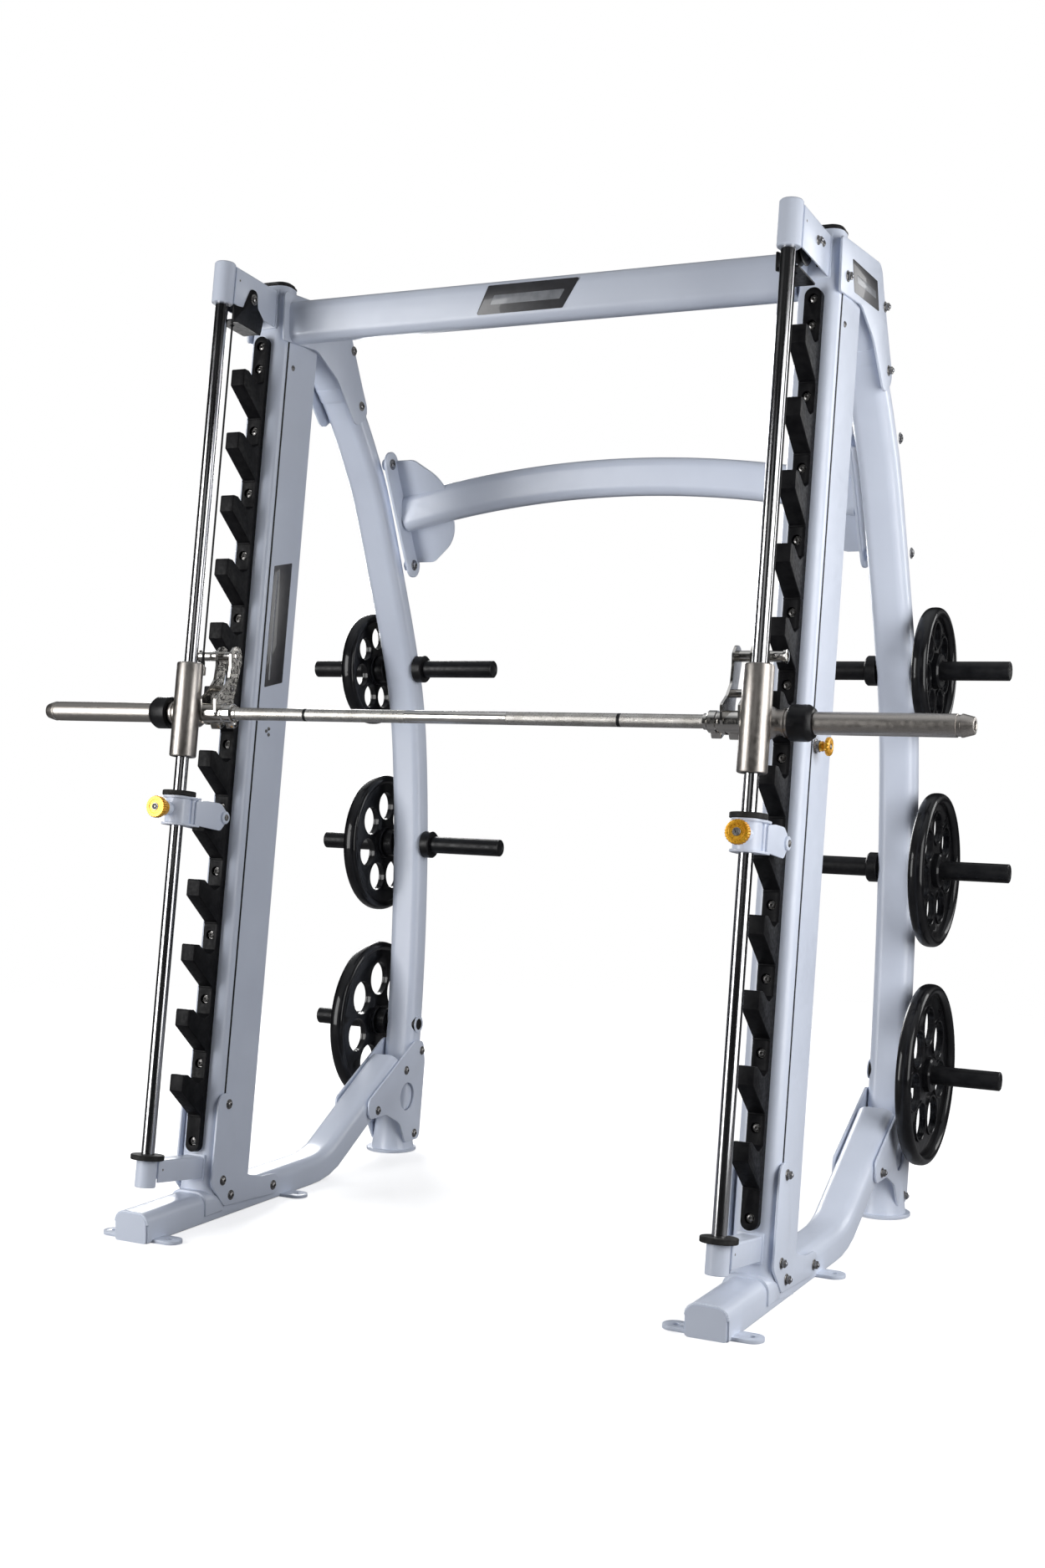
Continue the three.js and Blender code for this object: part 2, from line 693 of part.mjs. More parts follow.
/** Weight plate: thick rim and hub, a web sunk on the outer side with round hand holes. */
function weightPlate(radius, at) {
  const { from, thick, web, rim, hub, bore } = PLATE;
  const body = turned(
    "x",
    [
      [bore, from],
      [radius, from],
      [radius, from + thick],
      [radius - rim, from + thick],
      [radius - rim, from + web],
      [hub, from + web],
      [hub, from + thick],
      [bore, from + thick],
    ],
    at,
    18,
  );
  const circle = (hub + radius - rim) / 2;
  const hole = Math.min((radius - rim - hub) / 2 - 8, circle * Math.sin(Math.PI / PLATE.holes) - 6);
  const holes = Array.from({ length: PLATE.holes }, (_, i) => {
    const angle = Math.PI / 2 + (i * 2 * Math.PI) / PLATE.holes;
    const centre = [at[0] + circle * Math.cos(angle), at[1] + circle * Math.sin(angle)];
    return round("x", hole, from - 1, from + thick, centre, 7);
  });
  return cut(body, ...holes);
}

// ---------------------------------------------------------------- crossbars
const topCrossbar = () => {
  const { front, rear, bottom, top } = TOP_BAR;
  const end = HALF_SPAN - GUSSET.inner - GUSSET.thick - GAP;
  const section = tubeSection((front + rear) / 2, (bottom + top) / 2, rear - front, top - bottom);
  return prism("x", section, -end, end);
};

/** Arched rear crossbar with a bracket plate and a half-round fin at each end. */
function rearCrossbar() {
  const count = 6;
  const arch = Array.from({ length: count + 1 }, (_, i) => {
    const x = ((2 * i) / count - 1) * REAR_BAR.half;
    const drop = (REAR_BAR.crown - REAR_BAR.ends) * (x / REAR_BAR.half) ** 2;
    return new THREE.Vector3(x, REAR_BAR.y, REAR_BAR.crown - drop);
  });
  const tube = sweep(tubeSection(0, 0, TUBE.depth, REAR_BAR.height), arch);
  const [from, to] = [new THREE.Vector2(...BRACKET.from), new THREE.Vector2(...BRACKET.to)];
  const centre = from.clone().add(to).multiplyScalar(0.5);
  const along = to.clone().sub(from);
  const tilt = Math.atan2(-along.x, -along.y);
  const face = HALF_SPAN - TUBE_HALF - GAP;
  const ends = [-1, 1].flatMap((side) => {
    const length = along.length() + 2 * BRACKET.half;
    const plate = prism(
      "x",
      outline(rectangle(0, 0, 2 * BRACKET.half, length, BRACKET.half)),
      side > 0 ? face - BRACKET.thick : -face,
      side > 0 ? face : -face + BRACKET.thick,
    );
    const fin = outline([
      [side * (face - 2), -BRACKET.finR],
      [side * (face - 60), -BRACKET.finR, 20],
      [side * (face - BRACKET.finR), -BRACKET.finR / 2, 70],
      [side * (face - BRACKET.finR), BRACKET.finR / 2, 70],
      [side * (face - 60), BRACKET.finR, 20],
      [side * (face - 2), BRACKET.finR],
    ]);
    const pieces = [plate, prism("y", fin, -4, 4)];
    return pieces.map((piece) => piece.rotateX(-tilt).translate(0, centre.x, centre.y));
  });
  return join(tube, ...ends);
}

// ---------------------------------------------------------------- assembly
const machine = new THREE.Group();

function add(group, name, geometry, material) {
  const mesh = new THREE.Mesh(geometry, material);
  mesh.name = name;
  group.add(mesh);
}

function addSide(side) {
  const tag = side > 0 ? "right" : "left";
  const frame = new THREE.Group();
  frame.scale.x = side;
  machine.add(frame);
  add(frame, `base_${tag}`, baseTube(), POWDER);
  add(frame, `post_${tag}`, post(), POWDER);
  add(frame, `gusset_base_${tag}`, baseGusset(), POWDER);
  add(frame, `gusset_top_${tag}`, topGusset(), POWDER);
  add(frame, `gusset_rear_${tag}`, rearGusset(), POWDER);
  for (const [level, at] of Object.entries(PEG_HEIGHTS)) {
    add(frame, `peg_${level}_${tag}`, peg(level === "low" ? PEG.stub : PEG.inner, at), BLACK_STEEL);
  }
  for (const { name, at, r } of PLATES) {
    add(frame, `${name}_${tag}`, weightPlate(r, PEG_HEIGHTS[at]), BLACK_GLOSS);
  }

  const rail = new THREE.Group();
  rail.position.set(HALF_SPAN, RAIL_FOOT.y, RAIL_FOOT.z);
  rail.rotation.x = -RAIL_LEAN;
  frame.add(rail);
  add(rail, `upright_${tag}`, upright(), POWDER);
  add(rail, `housing_${tag}`, weightHousing(side > 0), POWDER);
  add(rail, `rack_${tag}`, rack(), BLACK_CAST);
  add(rail, `guide_rod_${tag}`, guideRod(), CHROME);
  add(rail, `rod_collar_${tag}`, rodCollar(), RUBBER);
  add(rail, `pulley_guard_${tag}`, pulleyGuard(), BLACK_STEEL);
  add(rail, `pulley_${tag}`, pulley(), BLACK_STEEL);
  add(rail, `cable_${tag}`, cable(), CABLE);
  add(rail, `counterweight_${tag}`, counterweight(), CAST_WEIGHT);
  add(rail, `carriage_${tag}`, carriage(), NICKEL);
  add(rail, `stop_bracket_${tag}`, stopBracket(), POWDER);
  add(rail, `stop_bumper_${tag}`, stopBumper(), RUBBER);
  add(rail, `stop_knob_${tag}`, stopKnob(), AMBER);
  if (side > 0) add(rail, `pop_knob_${tag}`, popKnob(), AMBER);

  const latch = new THREE.Group();
  latch.position.set(0, BAR.n, BAR.s);
  latch.rotation.x = LATCH.release;
  rail.add(latch);
  add(latch, `latch_${tag}`, latchArm(), NICKEL);

  const barAxis = new THREE.Group();
  barAxis.position.set(0, ...barCentre());
  frame.add(barAxis);
  add(barAxis, `bar_collar_${tag}`, barCollar(), BLACK_STEEL);
  add(barAxis, `sleeve_${tag}`, sleeve(), NICKEL);
}

/** The bar's axis as [y, z] in the machine's frame. */
function barCentre() {
  const [sin, cos] = [Math.sin(RAIL_LEAN), Math.cos(RAIL_LEAN)];
  return [
    RAIL_FOOT.y + sin * BAR.s + cos * BAR.n,
    RAIL_FOOT.z + cos * BAR.s - sin * BAR.n,
  ];
}

addSide(-1);
addSide(1);
add(machine, "bar_shaft", barShaft().translate(0, ...barCentre()), NICKEL);
add(machine, "top_crossbar", topCrossbar(), POWDER);
add(machine, "rear_crossbar", rearCrossbar(), POWDER);

const bounds = new THREE.Box3().setFromObject(machine, true);
machine.position.y = -(bounds.min.y + bounds.max.y) / 2;
const part = new THREE.Group();
part.add(machine);

export default part;
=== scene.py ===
# Smith machine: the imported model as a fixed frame, with smooth visible pieces, materials, light and camera.
# Lengths in the modelling functions are millimetres. x is the distance from the machine's middle, y runs from
# the front pair of bolt-down ears to the back, and z is height. Each side is drawn once, for the right, and
# mirrored. A rail point is (u, n, s): outward from the side frame's middle, back from the guide rod's axis,
# and up along it.
import math

import bmesh
import bpy
from mathutils import Matrix, Vector
from mathutils.geometry import tessellate_polygon

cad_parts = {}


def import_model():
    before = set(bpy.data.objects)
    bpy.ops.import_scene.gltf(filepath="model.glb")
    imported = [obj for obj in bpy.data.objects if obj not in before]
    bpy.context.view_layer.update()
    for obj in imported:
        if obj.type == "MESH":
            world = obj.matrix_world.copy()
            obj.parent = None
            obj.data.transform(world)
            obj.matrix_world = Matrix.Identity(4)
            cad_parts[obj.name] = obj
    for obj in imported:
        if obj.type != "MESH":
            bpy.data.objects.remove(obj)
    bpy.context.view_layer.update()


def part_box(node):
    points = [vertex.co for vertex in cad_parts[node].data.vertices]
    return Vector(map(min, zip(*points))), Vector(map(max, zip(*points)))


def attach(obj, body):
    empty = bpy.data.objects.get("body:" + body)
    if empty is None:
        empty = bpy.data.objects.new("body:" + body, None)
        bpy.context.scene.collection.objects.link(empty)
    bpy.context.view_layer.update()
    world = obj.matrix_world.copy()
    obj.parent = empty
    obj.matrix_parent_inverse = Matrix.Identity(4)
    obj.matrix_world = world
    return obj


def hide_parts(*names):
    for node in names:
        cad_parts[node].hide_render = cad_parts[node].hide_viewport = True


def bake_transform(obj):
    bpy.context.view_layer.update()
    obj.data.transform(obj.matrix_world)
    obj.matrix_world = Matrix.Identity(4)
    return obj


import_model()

MM = 0.001
SIDES = {"left": -1, "right": 1}

# ---------------------------------------------------------------- driving dimensions, as in the CAD model
BASE_FRONT = -47
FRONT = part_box("base_right")[0].y - BASE_FRONT * MM  # where y = 0 lies in the scene, in metres
BASE_MIDDLE = 36  # height of the base tube's axis
HALF = 721
LEAN = math.radians(7.3)
RAIL = Matrix.Translation((HALF, 18.08, 197.76)) @ Matrix.Rotation(-LEAN, 4, "X")
BAR_AT = (34.7, 1067.6)  # n, s
BAR = RAIL @ Vector((0, *BAR_AT))
LATCH_OPEN = math.radians(32.5)
LATCH_PIN = (115, 101.5)
LATCH_SPACER = (62, 38)
ROD_BORE = 16.3
UPRIGHT_MIDDLE = 235
RACK_HALF = 19.5
HOOK_COUNT, HOOK_PITCH = 12, 159.2
HOOK_TIPS = [1940 - HOOK_PITCH * k for k in range(HOOK_COUNT)]
RACK_BOLTS = [1966 - HOOK_PITCH * k for k in range(HOOK_COUNT)] + [2025, 22.8]
ARMS = ((2078, 2171), (-66, -13))  # lower and upper edges of the arms that hold the rod
PULLEY, PULLEY_CABLE_R = (91, 2111.6), 41
SHOE, SHOE_CABLE_R = (302, 2020), 24
CABLE_R = 2.5
CABLE_FRONT, CABLE_REAR = 50, 326
POP_PIN = (256, 1047)
STOP_MIDDLE = 827
STOP_BOLT = (146, 824)
STOP_KNOB = (6, STOP_MIDDLE)
EAR_ROWS, EAR_HOLES = (0, 557.6), (640.6, 803)
GUSSET_INNER, GUSSET_THICK = 50.1, 6
GUSSET_FACE = GUSSET_INNER + GUSSET_THICK
TUBE_FACE = 48.3  # from a side frame's middle to just outside its tubes
PEG_INNER = 427
PEGS = {"top": (1221, 1395.5), "middle": (1287, 888), "low": (1264, 363)}
PLATES = {"25": ("top", 160), "35": ("middle", 198), "45": ("low", 232.5)}
PLATE_HOLES, PLATE_RIM = 7, 27
POST = [
    (1216.5, 9), (1236, 150), (1262, 300), (1284, 600), (1287, 900), (1271, 1150), (1244, 1310), (1193, 1465),
    (1126, 1629), (1028, 1854), (963, 1962), (888, 2064), (805, 2150), (700, 2222), (576, 2258),
]
CAMERA_AT = (2116.6, -3841.7, 1227.6)
CAMERA_TURN = (28.1521, 87.0377, 1.1031)  # degrees about Z, X and the line of sight
LENS = 46.03
SHIFT = (0.0533, 0.0305)
LIGHTS = {  # name: place, aim, size (metres), watts
    "right": ((2.7, -0.7, 1.5), (0.7, -0.1, 1.3), (1.6, 2.4), 56),
    "left_front": ((-2.7, -3.7, 1.7), (-0.4, -0.3, 1.2), (2.0, 3.0), 138),
    "front": ((1.4, -4.6, 2.6), (0.2, 0, 1.2), (1.6, 1.6), 4),
    "top": ((0.2, -0.2, 4.2), (0, 0, 0), (3.0, 2.4), 5),
    "rear_left": ((-2.8, 3.0, 2.2), (-0.3, 0.6, 1.2), (1.4, 2.0), 100),
    "rear_right": ((3.0, 3.0, 2.2), (0.3, 0.6, 1.2), (1.4, 2.0), 36),
}
SKY = (0.01, 0.06)  # the studio's glow near the horizon and overhead, on matt surfaces
SHINE = (0.01, 0.6)  # and in shiny ones
GLOW = (0.55, 0.9)  # where the glow starts and stops growing, as the direction's Z: 0 level, 1 overhead
BOUNCE = (0.30, 0.30, 0.31)  # the floor's colour for every ray but the camera's


# ---------------------------------------------------------------- camera
def make_camera():
    data = bpy.data.cameras.new("camera")
    data.sensor_width = 36
    data.lens = LENS
    data.shift_x, data.shift_y = SHIFT
    data.clip_end = 100
    camera = bpy.data.objects.new("camera", data)
    about_z, about_x, roll = (math.radians(a) for a in CAMERA_TURN)
    turn = Matrix.Rotation(about_z, 4, "Z") @ Matrix.Rotation(about_x, 4, "X") @ Matrix.Rotation(roll, 4, "Z")
    x, y, z = CAMERA_AT
    camera.matrix_world = Matrix.Translation((x * MM, FRONT + y * MM, z * MM)) @ turn
    bpy.context.scene.collection.objects.link(camera)
    bpy.context.scene.camera = camera


make_camera()


# ---------------------------------------------------------------- materials
class Nodes:
    """Short names for building a material's nodes."""

    def __init__(self, name, color, roughness, metallic=0.0, **sockets):
        self.material = bpy.data.materials.new(name)
        self.material.use_nodes = True
        self.tree = self.material.node_tree
        self.shader = self.tree.nodes["Principled BSDF"]
        self.shader.inputs["Base Color"].default_value = (*color, 1)
        self.shader.inputs["Roughness"].default_value = roughness
        self.shader.inputs["Metallic"].default_value = metallic
        for socket, value in sockets.items():
            self.shader.inputs[socket.replace("_", " ")].default_value = value
        self.place = self.node("ShaderNodeTexCoord").outputs["Object"]
        self.height = None

    def node(self, kind, **values):
        made = self.tree.nodes.new(kind)
        for key, value in values.items():
            setattr(made, key, value)
        return made

    def link(self, a, b):
        self.tree.links.new(a, b)

    def noise(self, scale, detail=3, stretch=(1, 1, 1)):
        mapping = self.node("ShaderNodeMapping")
        mapping.inputs["Scale"].default_value = stretch
        self.link(self.place, mapping.inputs["Vector"])
        texture = self.node("ShaderNodeTexNoise")
        texture.inputs["Scale"].default_value = scale
        texture.inputs["Detail"].default_value = detail
        self.link(mapping.outputs[0], texture.inputs["Vector"])
        return texture.outputs["Fac"]

    def ramp(self, value, low, high, a=0.35, b=0.65):
        """Maps a value between a and b onto low to high: numbers or colours."""
        if isinstance(low, (int, float)):
            made = self.node("ShaderNodeMapRange")
            for socket, number in zip(("From Min", "From Max", "To Min", "To Max"), (a, b, low, high)):
                made.inputs[socket].default_value = number
            self.link(value, made.inputs["Value"])
            return made.outputs["Result"]
        made = self.node("ShaderNodeValToRGB")
        made.color_ramp.elements[0].position = a
        made.color_ramp.elements[1].position = b
        made.color_ramp.elements[0].color = (*low, 1)
        made.color_ramp.elements[1].color = (*high, 1)
        self.link(value, made.inputs["Fac"])
        return made.outputs["Color"]

    def color(self, socket):
        self.link(socket, self.shader.inputs["Base Color"])

    def rough(self, socket):
        self.link(socket, self.shader.inputs["Roughness"])

    def bump(self, value, distance, strength=1.0):
        made = self.node("ShaderNodeBump")
        made.inputs["Strength"].default_value = strength
        made.inputs["Distance"].default_value = distance
        self.link(value, made.inputs["Height"])
        if self.height is not None:
            self.link(self.height, made.inputs["Normal"])
        self.height = made.outputs["Normal"]
        self.link(self.height, self.shader.inputs["Normal"])

    def math(self, operation, a, b=0.0):
        made = self.node("ShaderNodeMath", operation=operation)
        for socket, value in zip(made.inputs, (a, b)):
            if isinstance(value, (int, float)):
                socket.default_value = value
            else:
                self.link(value, socket)
        return made.outputs[0]


def varied(name, base, tones, gloss, *bumps, metallic=0.0, **sockets):
    """A material of (colour, roughness), varied by noises of (scale, detail, stretch).

    tones is (noise, dark, light), gloss is (noise, low, high) and each bump is (noise, distance, strength).
    """
    m = Nodes(name, *base, metallic, **sockets)
    m.color(m.ramp(m.noise(*tones[0]), *tones[1:]))
    if gloss:
        m.rough(m.ramp(m.noise(*gloss[0]), *gloss[1:]))
    for noise, distance, strength in bumps:
        m.bump(m.noise(*noise), distance, strength)
    return m.material


def knurled_steel():
    """Diamond knurling about the object's own X axis, which is the bar's axis."""
    m = Nodes("knurled_steel", (0.50, 0.48, 0.45), 0.26, 1)
    split = m.node("ShaderNodeSeparateXYZ")
    m.link(m.place, split.inputs[0])
    x, y, z = split.outputs
    pitch = 0.0016
    around = m.math("MULTIPLY", m.math("ARCTAN2", y, z), 0.015 * 2 * math.pi / pitch)
    along = m.math("MULTIPLY", x, 2 * math.pi / pitch)
    one = m.math("SINE", m.math("ADD", around, along))
    two = m.math("SINE", m.math("SUBTRACT", around, along))
    m.bump(m.math("MAXIMUM", one, two), 0.00012, 0.5)
    m.color(m.ramp(m.noise(30, 4), (0.46, 0.44, 0.41), (0.60, 0.58, 0.55)))
    m.rough(m.ramp(m.noise(260, 3), 0.26, 0.36))
    return m.material


def decal_film(name, color):
    dark, light = tuple(c * 0.85 for c in color), tuple(min(1, c * 1.15) for c in color)
    fine = ((800, 2), 0.00003, 0.3)
    return varied(name, (color, 0.35), ((40, 3), dark, light), None, fine, Coat_Weight=0.3)


POWDER = varied(  # pale bluish-white, with a fine orange peel
    "powder_coat", ((0.69, 0.73, 0.82), 0.36),
    ((3.5, 4), (0.635, 0.685, 0.80), (0.69, 0.745, 0.86)), ((60, 3), 0.31, 0.43),
    ((900, 2), 0.00012, 0.35), ((240, 2), 0.0002, 0.2), Coat_Weight=0.2, Coat_Roughness=0.18,
)
CHROME = varied(
    "rod_chrome", ((0.45, 0.45, 0.46), 0.17),
    ((6, 4), (0.40, 0.40, 0.42), (0.50, 0.50, 0.51)), ((40, 4, (1, 1, 0.1)), 0.15, 0.2),
    ((60, 2, (1, 1, 0.2)), 0.000002, 0.1), metallic=1,
)
NICKEL = varied(  # warm grey satin plating with a fine cast speckle
    "satin_nickel", ((0.45, 0.42, 0.38), 0.34),
    ((900, 3), (0.36, 0.335, 0.31), (0.48, 0.45, 0.42)), ((90, 4), 0.32, 0.42),
    ((1200, 2), 0.00003, 0.4), metallic=1,
)
BRIGHT = varied(
    "bright_nickel", ((0.62, 0.60, 0.57), 0.15),
    ((14, 3), (0.52, 0.50, 0.47), (0.68, 0.66, 0.63)), ((120, 3), 0.11, 0.22),
    ((900, 2), 0.00005, 0.3), metallic=1,
)
KNURL = knurled_steel()
CAST = varied(
    "black_cast", ((0.006, 0.006, 0.007), 0.5),
    ((45, 5), (0.004, 0.004, 0.005), (0.010, 0.010, 0.011)), ((130, 4), 0.38, 0.54),
    ((900, 3), 0.0001, 0.4), Specular_IOR_Level=0.1,
)
ENAMEL = varied(
    "black_enamel", ((0.003, 0.003, 0.004), 0.42),
    ((30, 4), (0.002, 0.002, 0.003), (0.005, 0.005, 0.006)), ((55, 4), 0.38, 0.48),
    ((420, 3), 0.00002, 0.2), Specular_IOR_Level=0.12, Coat_Weight=0.5, Coat_Roughness=0.07,
)
SATIN = varied(
    "black_satin", ((0.006, 0.006, 0.007), 0.36),
    ((38, 4), (0.004, 0.004, 0.005), (0.010, 0.010, 0.011)), ((110, 4), 0.3, 0.46),
    ((900, 2), 0.0001, 0.3), Specular_IOR_Level=0.25,
)
RUBBER = varied(
    "rubber", ((0.014, 0.014, 0.014), 0.72),
    ((70, 4), (0.010, 0.010, 0.010), (0.024, 0.023, 0.022)), ((90, 4), 0.62, 0.82),
    ((1400, 3), 0.0001, 0.5), Specular_IOR_Level=0.3,
)
AMBER = varied(  # orange-yellow anodising
    "amber_anodised", ((0.80, 0.38, 0.015), 0.3),
    ((60, 3), (0.72, 0.31, 0.008), (0.90, 0.47, 0.03)), ((300, 3), 0.24, 0.38),
    ((1200, 2), 0.00005, 0.4), metallic=0.55, Coat_Weight=0.4, Coat_Roughness=0.15,
)
OXIDE = varied(  # bolts and washers
    "black_oxide", ((0.26, 0.25, 0.245), 0.3),
    ((220, 3), (0.18, 0.175, 0.17), (0.34, 0.33, 0.32)), ((500, 2), 0.25, 0.42),
    ((1500, 2), 0.00005, 0.4), metallic=0.95,
)
ZINC = varied(
    "zinc", ((0.34, 0.34, 0.35), 0.3),
    ((260, 3), (0.26, 0.26, 0.27), (0.40, 0.40, 0.42)), ((400, 2), 0.22, 0.4),
    ((1500, 2), 0.00004, 0.4), metallic=1,
)
DARK_DECAL = decal_film("dark_decal", (0.035, 0.035, 0.04))
GREY_DECAL = decal_film("grey_decal", (0.22, 0.23, 0.25))


# ---------------------------------------------------------------- mesh helpers
def join(*parts):
    """One mesh out of several; the parts are used up."""
    whole = bmesh.new()
    for part in parts:
        mesh = bpy.data.meshes.new("part")
        part.to_mesh(mesh)
        part.free()
        whole.from_mesh(mesh)
        bpy.data.meshes.remove(mesh)
    return whole


def moved(part, matrix):
    bmesh.ops.transform(part, matrix=matrix, verts=part.verts)
    if matrix.determinant() < 0:
        bmesh.ops.reverse_faces(part, faces=part.faces)
    return part


def railed(part):
    return moved(part, RAIL)


def soften(part, width, segments=2, angle=40):
    """Rounds the sharp edges over."""
    sharp = [e for e in part.edges if len(e.link_faces) == 2 and e.calc_face_angle(0) > math.radians(angle)]
    bmesh.ops.bevel(
        part, geom=sharp, offset=width, segments=segments, profile=0.5, affect="EDGES", clamp_overlap=True
    )
    return part


def rounded(points, steps=5):
    """An outline's corners, each [a, b] or [a, b, radius], as a list of points on arcs."""
    made = []
    count = len(points)
    for i, (a, b, *radius) in enumerate(points):
        here = Vector((a, b))
        if not radius or radius[0] <= 0:
            made.append(here)
            continue
        before = Vector(points[i - 1][:2]) - here
        after = Vector(points[(i + 1) % count][:2]) - here
        turn = before.angle(after)
        reach = min(radius[0] / math.tan(turn / 2), before.length * 0.495, after.length * 0.495)
        size = reach * math.tan(turn / 2)
        start, end = here + before.normalized() * reach, here + after.normalized() * reach
        centre = here + (before.normalized() + after.normalized()).normalized() * math.hypot(reach, size)
        first, last = start - centre, end - centre
        sweep = first.angle_signed(last)
        for k in range(steps + 1):
            angle = -sweep * k / steps
            spun = Vector((
                first.x * math.cos(angle) - first.y * math.sin(angle),
                first.x * math.sin(angle) + first.y * math.cos(angle),
            ))
            made.append(centre + spun)
    return made


def rectangle(a, b, width, height, radius=0, steps=5):
    w, h = width / 2, height / 2
    corners = [(a - w, b - h, radius), (a + w, b - h, radius), (a + w, b + h, radius), (a - w, b + h, radius)]
    return rounded(corners, steps)


def circle(a, b, radius, count=32):
    angles = [2 * math.pi * i / count for i in range(count)]
    return [Vector((a + radius * math.cos(t), b + radius * math.sin(t))) for t in angles]


def spot(axis, a, b, t):
    """The point at (a, b) in the plane across an axis, t along it."""
    if axis == "x":
        return Vector((t, a, b))
    if axis == "y":
        return Vector((a, t, b))
    return Vector((a, b, t))


def prism(axis, outer, low, high, holes=()):
    """A flat outline, with holes, drawn out along an axis."""
    part = bmesh.new()
    loops = [list(outer), *[list(hole) for hole in holes]]
    triangles = tessellate_polygon([[Vector((p[0], p[1], 0)) for p in loop] for loop in loops])
    flat = [p for loop in loops for p in loop]
    ends = [[part.verts.new(spot(axis, p[0], p[1], t)) for p in flat] for t in (low, high)]
    for end in ends:
        for triangle in triangles:
            part.faces.new([end[i] for i in triangle])
    start = 0
    for loop in loops:
        count = len(loop)
        for i in range(count):
            j = (i + 1) % count
            part.faces.new([ends[0][start + i], ends[0][start + j], ends[1][start + j], ends[1][start + i]])
        start += count
    bmesh.ops.recalc_face_normals(part, faces=part.faces)
    bmesh.ops.dissolve_limit(part, angle_limit=0.01, verts=part.verts, edges=part.edges)
    return part


def block(x, y, z, edge=0, segments=2):
    outline = [(y[0], z[0]), (y[1], z[0]), (y[1], z[1]), (y[0], z[1])]
    part = prism("x", outline, *x)
    return soften(part, edge, segments) if edge else part


def lathe(axis, profile, centre=(0, 0), segments=48, lobes=None):
    """A profile of (radius, along) turned about an axis. lobes(radius, angle) may reshape each ring."""
    part = bmesh.new()
    rings = []
    for radius, along in profile:
        if radius < 1e-6:
            rings.append([part.verts.new(spot(axis, *centre, along))])
            continue
        ring = []
        for i in range(segments):
            angle = 2 * math.pi * i / segments
            r = lobes(radius, angle) if lobes else radius
            ring.append(part.verts.new(
                spot(axis, centre[0] + r * math.cos(angle), centre[1] + r * math.sin(angle), along)
            ))
        rings.append(ring)
    closed = len(rings[0]) > 1 and len(rings[-1]) > 1
    pairs = list(zip(rings, rings[1:])) + ([(rings[-1], rings[0])] if closed else [])
    for lower, upper in pairs:
        for i in range(segments):
            j = (i + 1) % segments
            corners = [ring[k % len(ring)] for ring, k in ((lower, i), (lower, j), (upper, j), (upper, i))]
            unique = list(dict.fromkeys(corners))
            if len(unique) > 2:
                part.faces.new(unique)
    bmesh.ops.recalc_face_normals(part, faces=part.faces)
    return part


def smooth_path(points, steps=6):
    """Points on a Catmull-Rom curve through the given ones."""
    p = [Vector(q) for q in points]
    p = [p[0] * 2 - p[1], *p, p[-1] * 2 - p[-2]]
    made = []
    for i in range(1, len(p) - 2):
        for k in range(steps):
            t = k / steps
            made.append(0.5 * (
                2 * p[i]
                + (p[i + 1] - p[i - 1]) * t
                + (2 * p[i - 1] - 5 * p[i] + 4 * p[i + 1] - p[i + 2]) * t * t
                + (3 * p[i] - p[i - 1] - 3 * p[i + 1] + p[i + 2]) * t ** 3
            ))
    return made + [p[-2]]


def skin(part, rings, caps=True):
    """Walls between one ring and the next, and a face over each end."""
    count = len(rings[0])
    for lower, upper in zip(rings, rings[1:]):
        for i in range(count):
            j = (i + 1) % count
            part.faces.new([lower[i], lower[j], upper[j], upper[i]])
    if caps:
        part.faces.new(rings[0])
        part.faces.new(rings[-1])
    bmesh.ops.recalc_face_normals(part, faces=part.faces)
    return part


def heading(path, i):
    return (path[min(i + 1, len(path) - 1)] - path[max(i - 1, 0)]).normalized()


def swept(section, path, across=Vector((1, 0, 0)), caps=True):
    """A section of (a, b) points carried along a flat path: a along across, b square to it and the path."""
    part = bmesh.new()
    rings = []
    for i, point in enumerate(path):
        up = heading(path, i).cross(across).normalized()
        rings.append([part.verts.new(point + across * q[0] + up * q[1]) for q in section])
    return skin(part, rings, caps)


def ribbon(path, radius, count=8):
    """A round bead along any line."""
    part = bmesh.new()
    rings = []
    for i, point in enumerate(path):
        along = heading(path, i)
        side = along.orthogonal().normalized() if i == 0 else (side - along * side.dot(along)).normalized()
        other = along.cross(side)
        rings.append([
            part.verts.new(point + side * radius * math.cos(a) + other * radius * math.sin(a))
            for a in (2 * math.pi * k / count for k in range(count))
        ])
    return skin(part, rings)


def shown(name, part, material, origin=None):
    """A scene object made from a part, which is used up."""
    mesh = bpy.data.meshes.new(name)
    part.to_mesh(mesh)
    part.free()
    piece = bpy.data.objects.new(name, mesh)
    if origin is not None:
        piece.location = origin
    bpy.context.scene.collection.objects.link(piece)
    piece.data.materials.append(material)
    return piece


def emit(name, part, material, body, node=None, side=None, origin=None):
    """Puts a part into the scene, mirrored if side is left, riding on a body. It may replace a CAD node."""
    place = Matrix.Translation((0, FRONT, 0)) @ Matrix.Scale(MM, 4)
    if side == "left":
        place = place @ Matrix.Scale(-1, 4, (1, 0, 0))
    moved(part, place)
    for edge in part.edges:
        edge.smooth = edge.calc_face_angle(math.pi) < math.radians(32)
    for face in part.faces:
        face.smooth = True
    if origin is not None:
        bmesh.ops.translate(part, vec=-origin, verts=part.verts)
    piece = shown(name, part, material, origin)
    bpy.context.view_layer.update()
    if body:
        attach(piece, body)
    if node:
        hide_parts(node)
    return piece


# ---------------------------------------------------------------- fasteners
def hex_socket(limit):
    """Ring shaper that makes the rings inside limit hexagonal."""
    def shape(radius, angle):
        if radius > limit:
            return radius
        turn = angle % (math.pi / 3) - math.pi / 6
        return radius * math.cos(math.pi / 6) / math.cos(turn)
    return shape


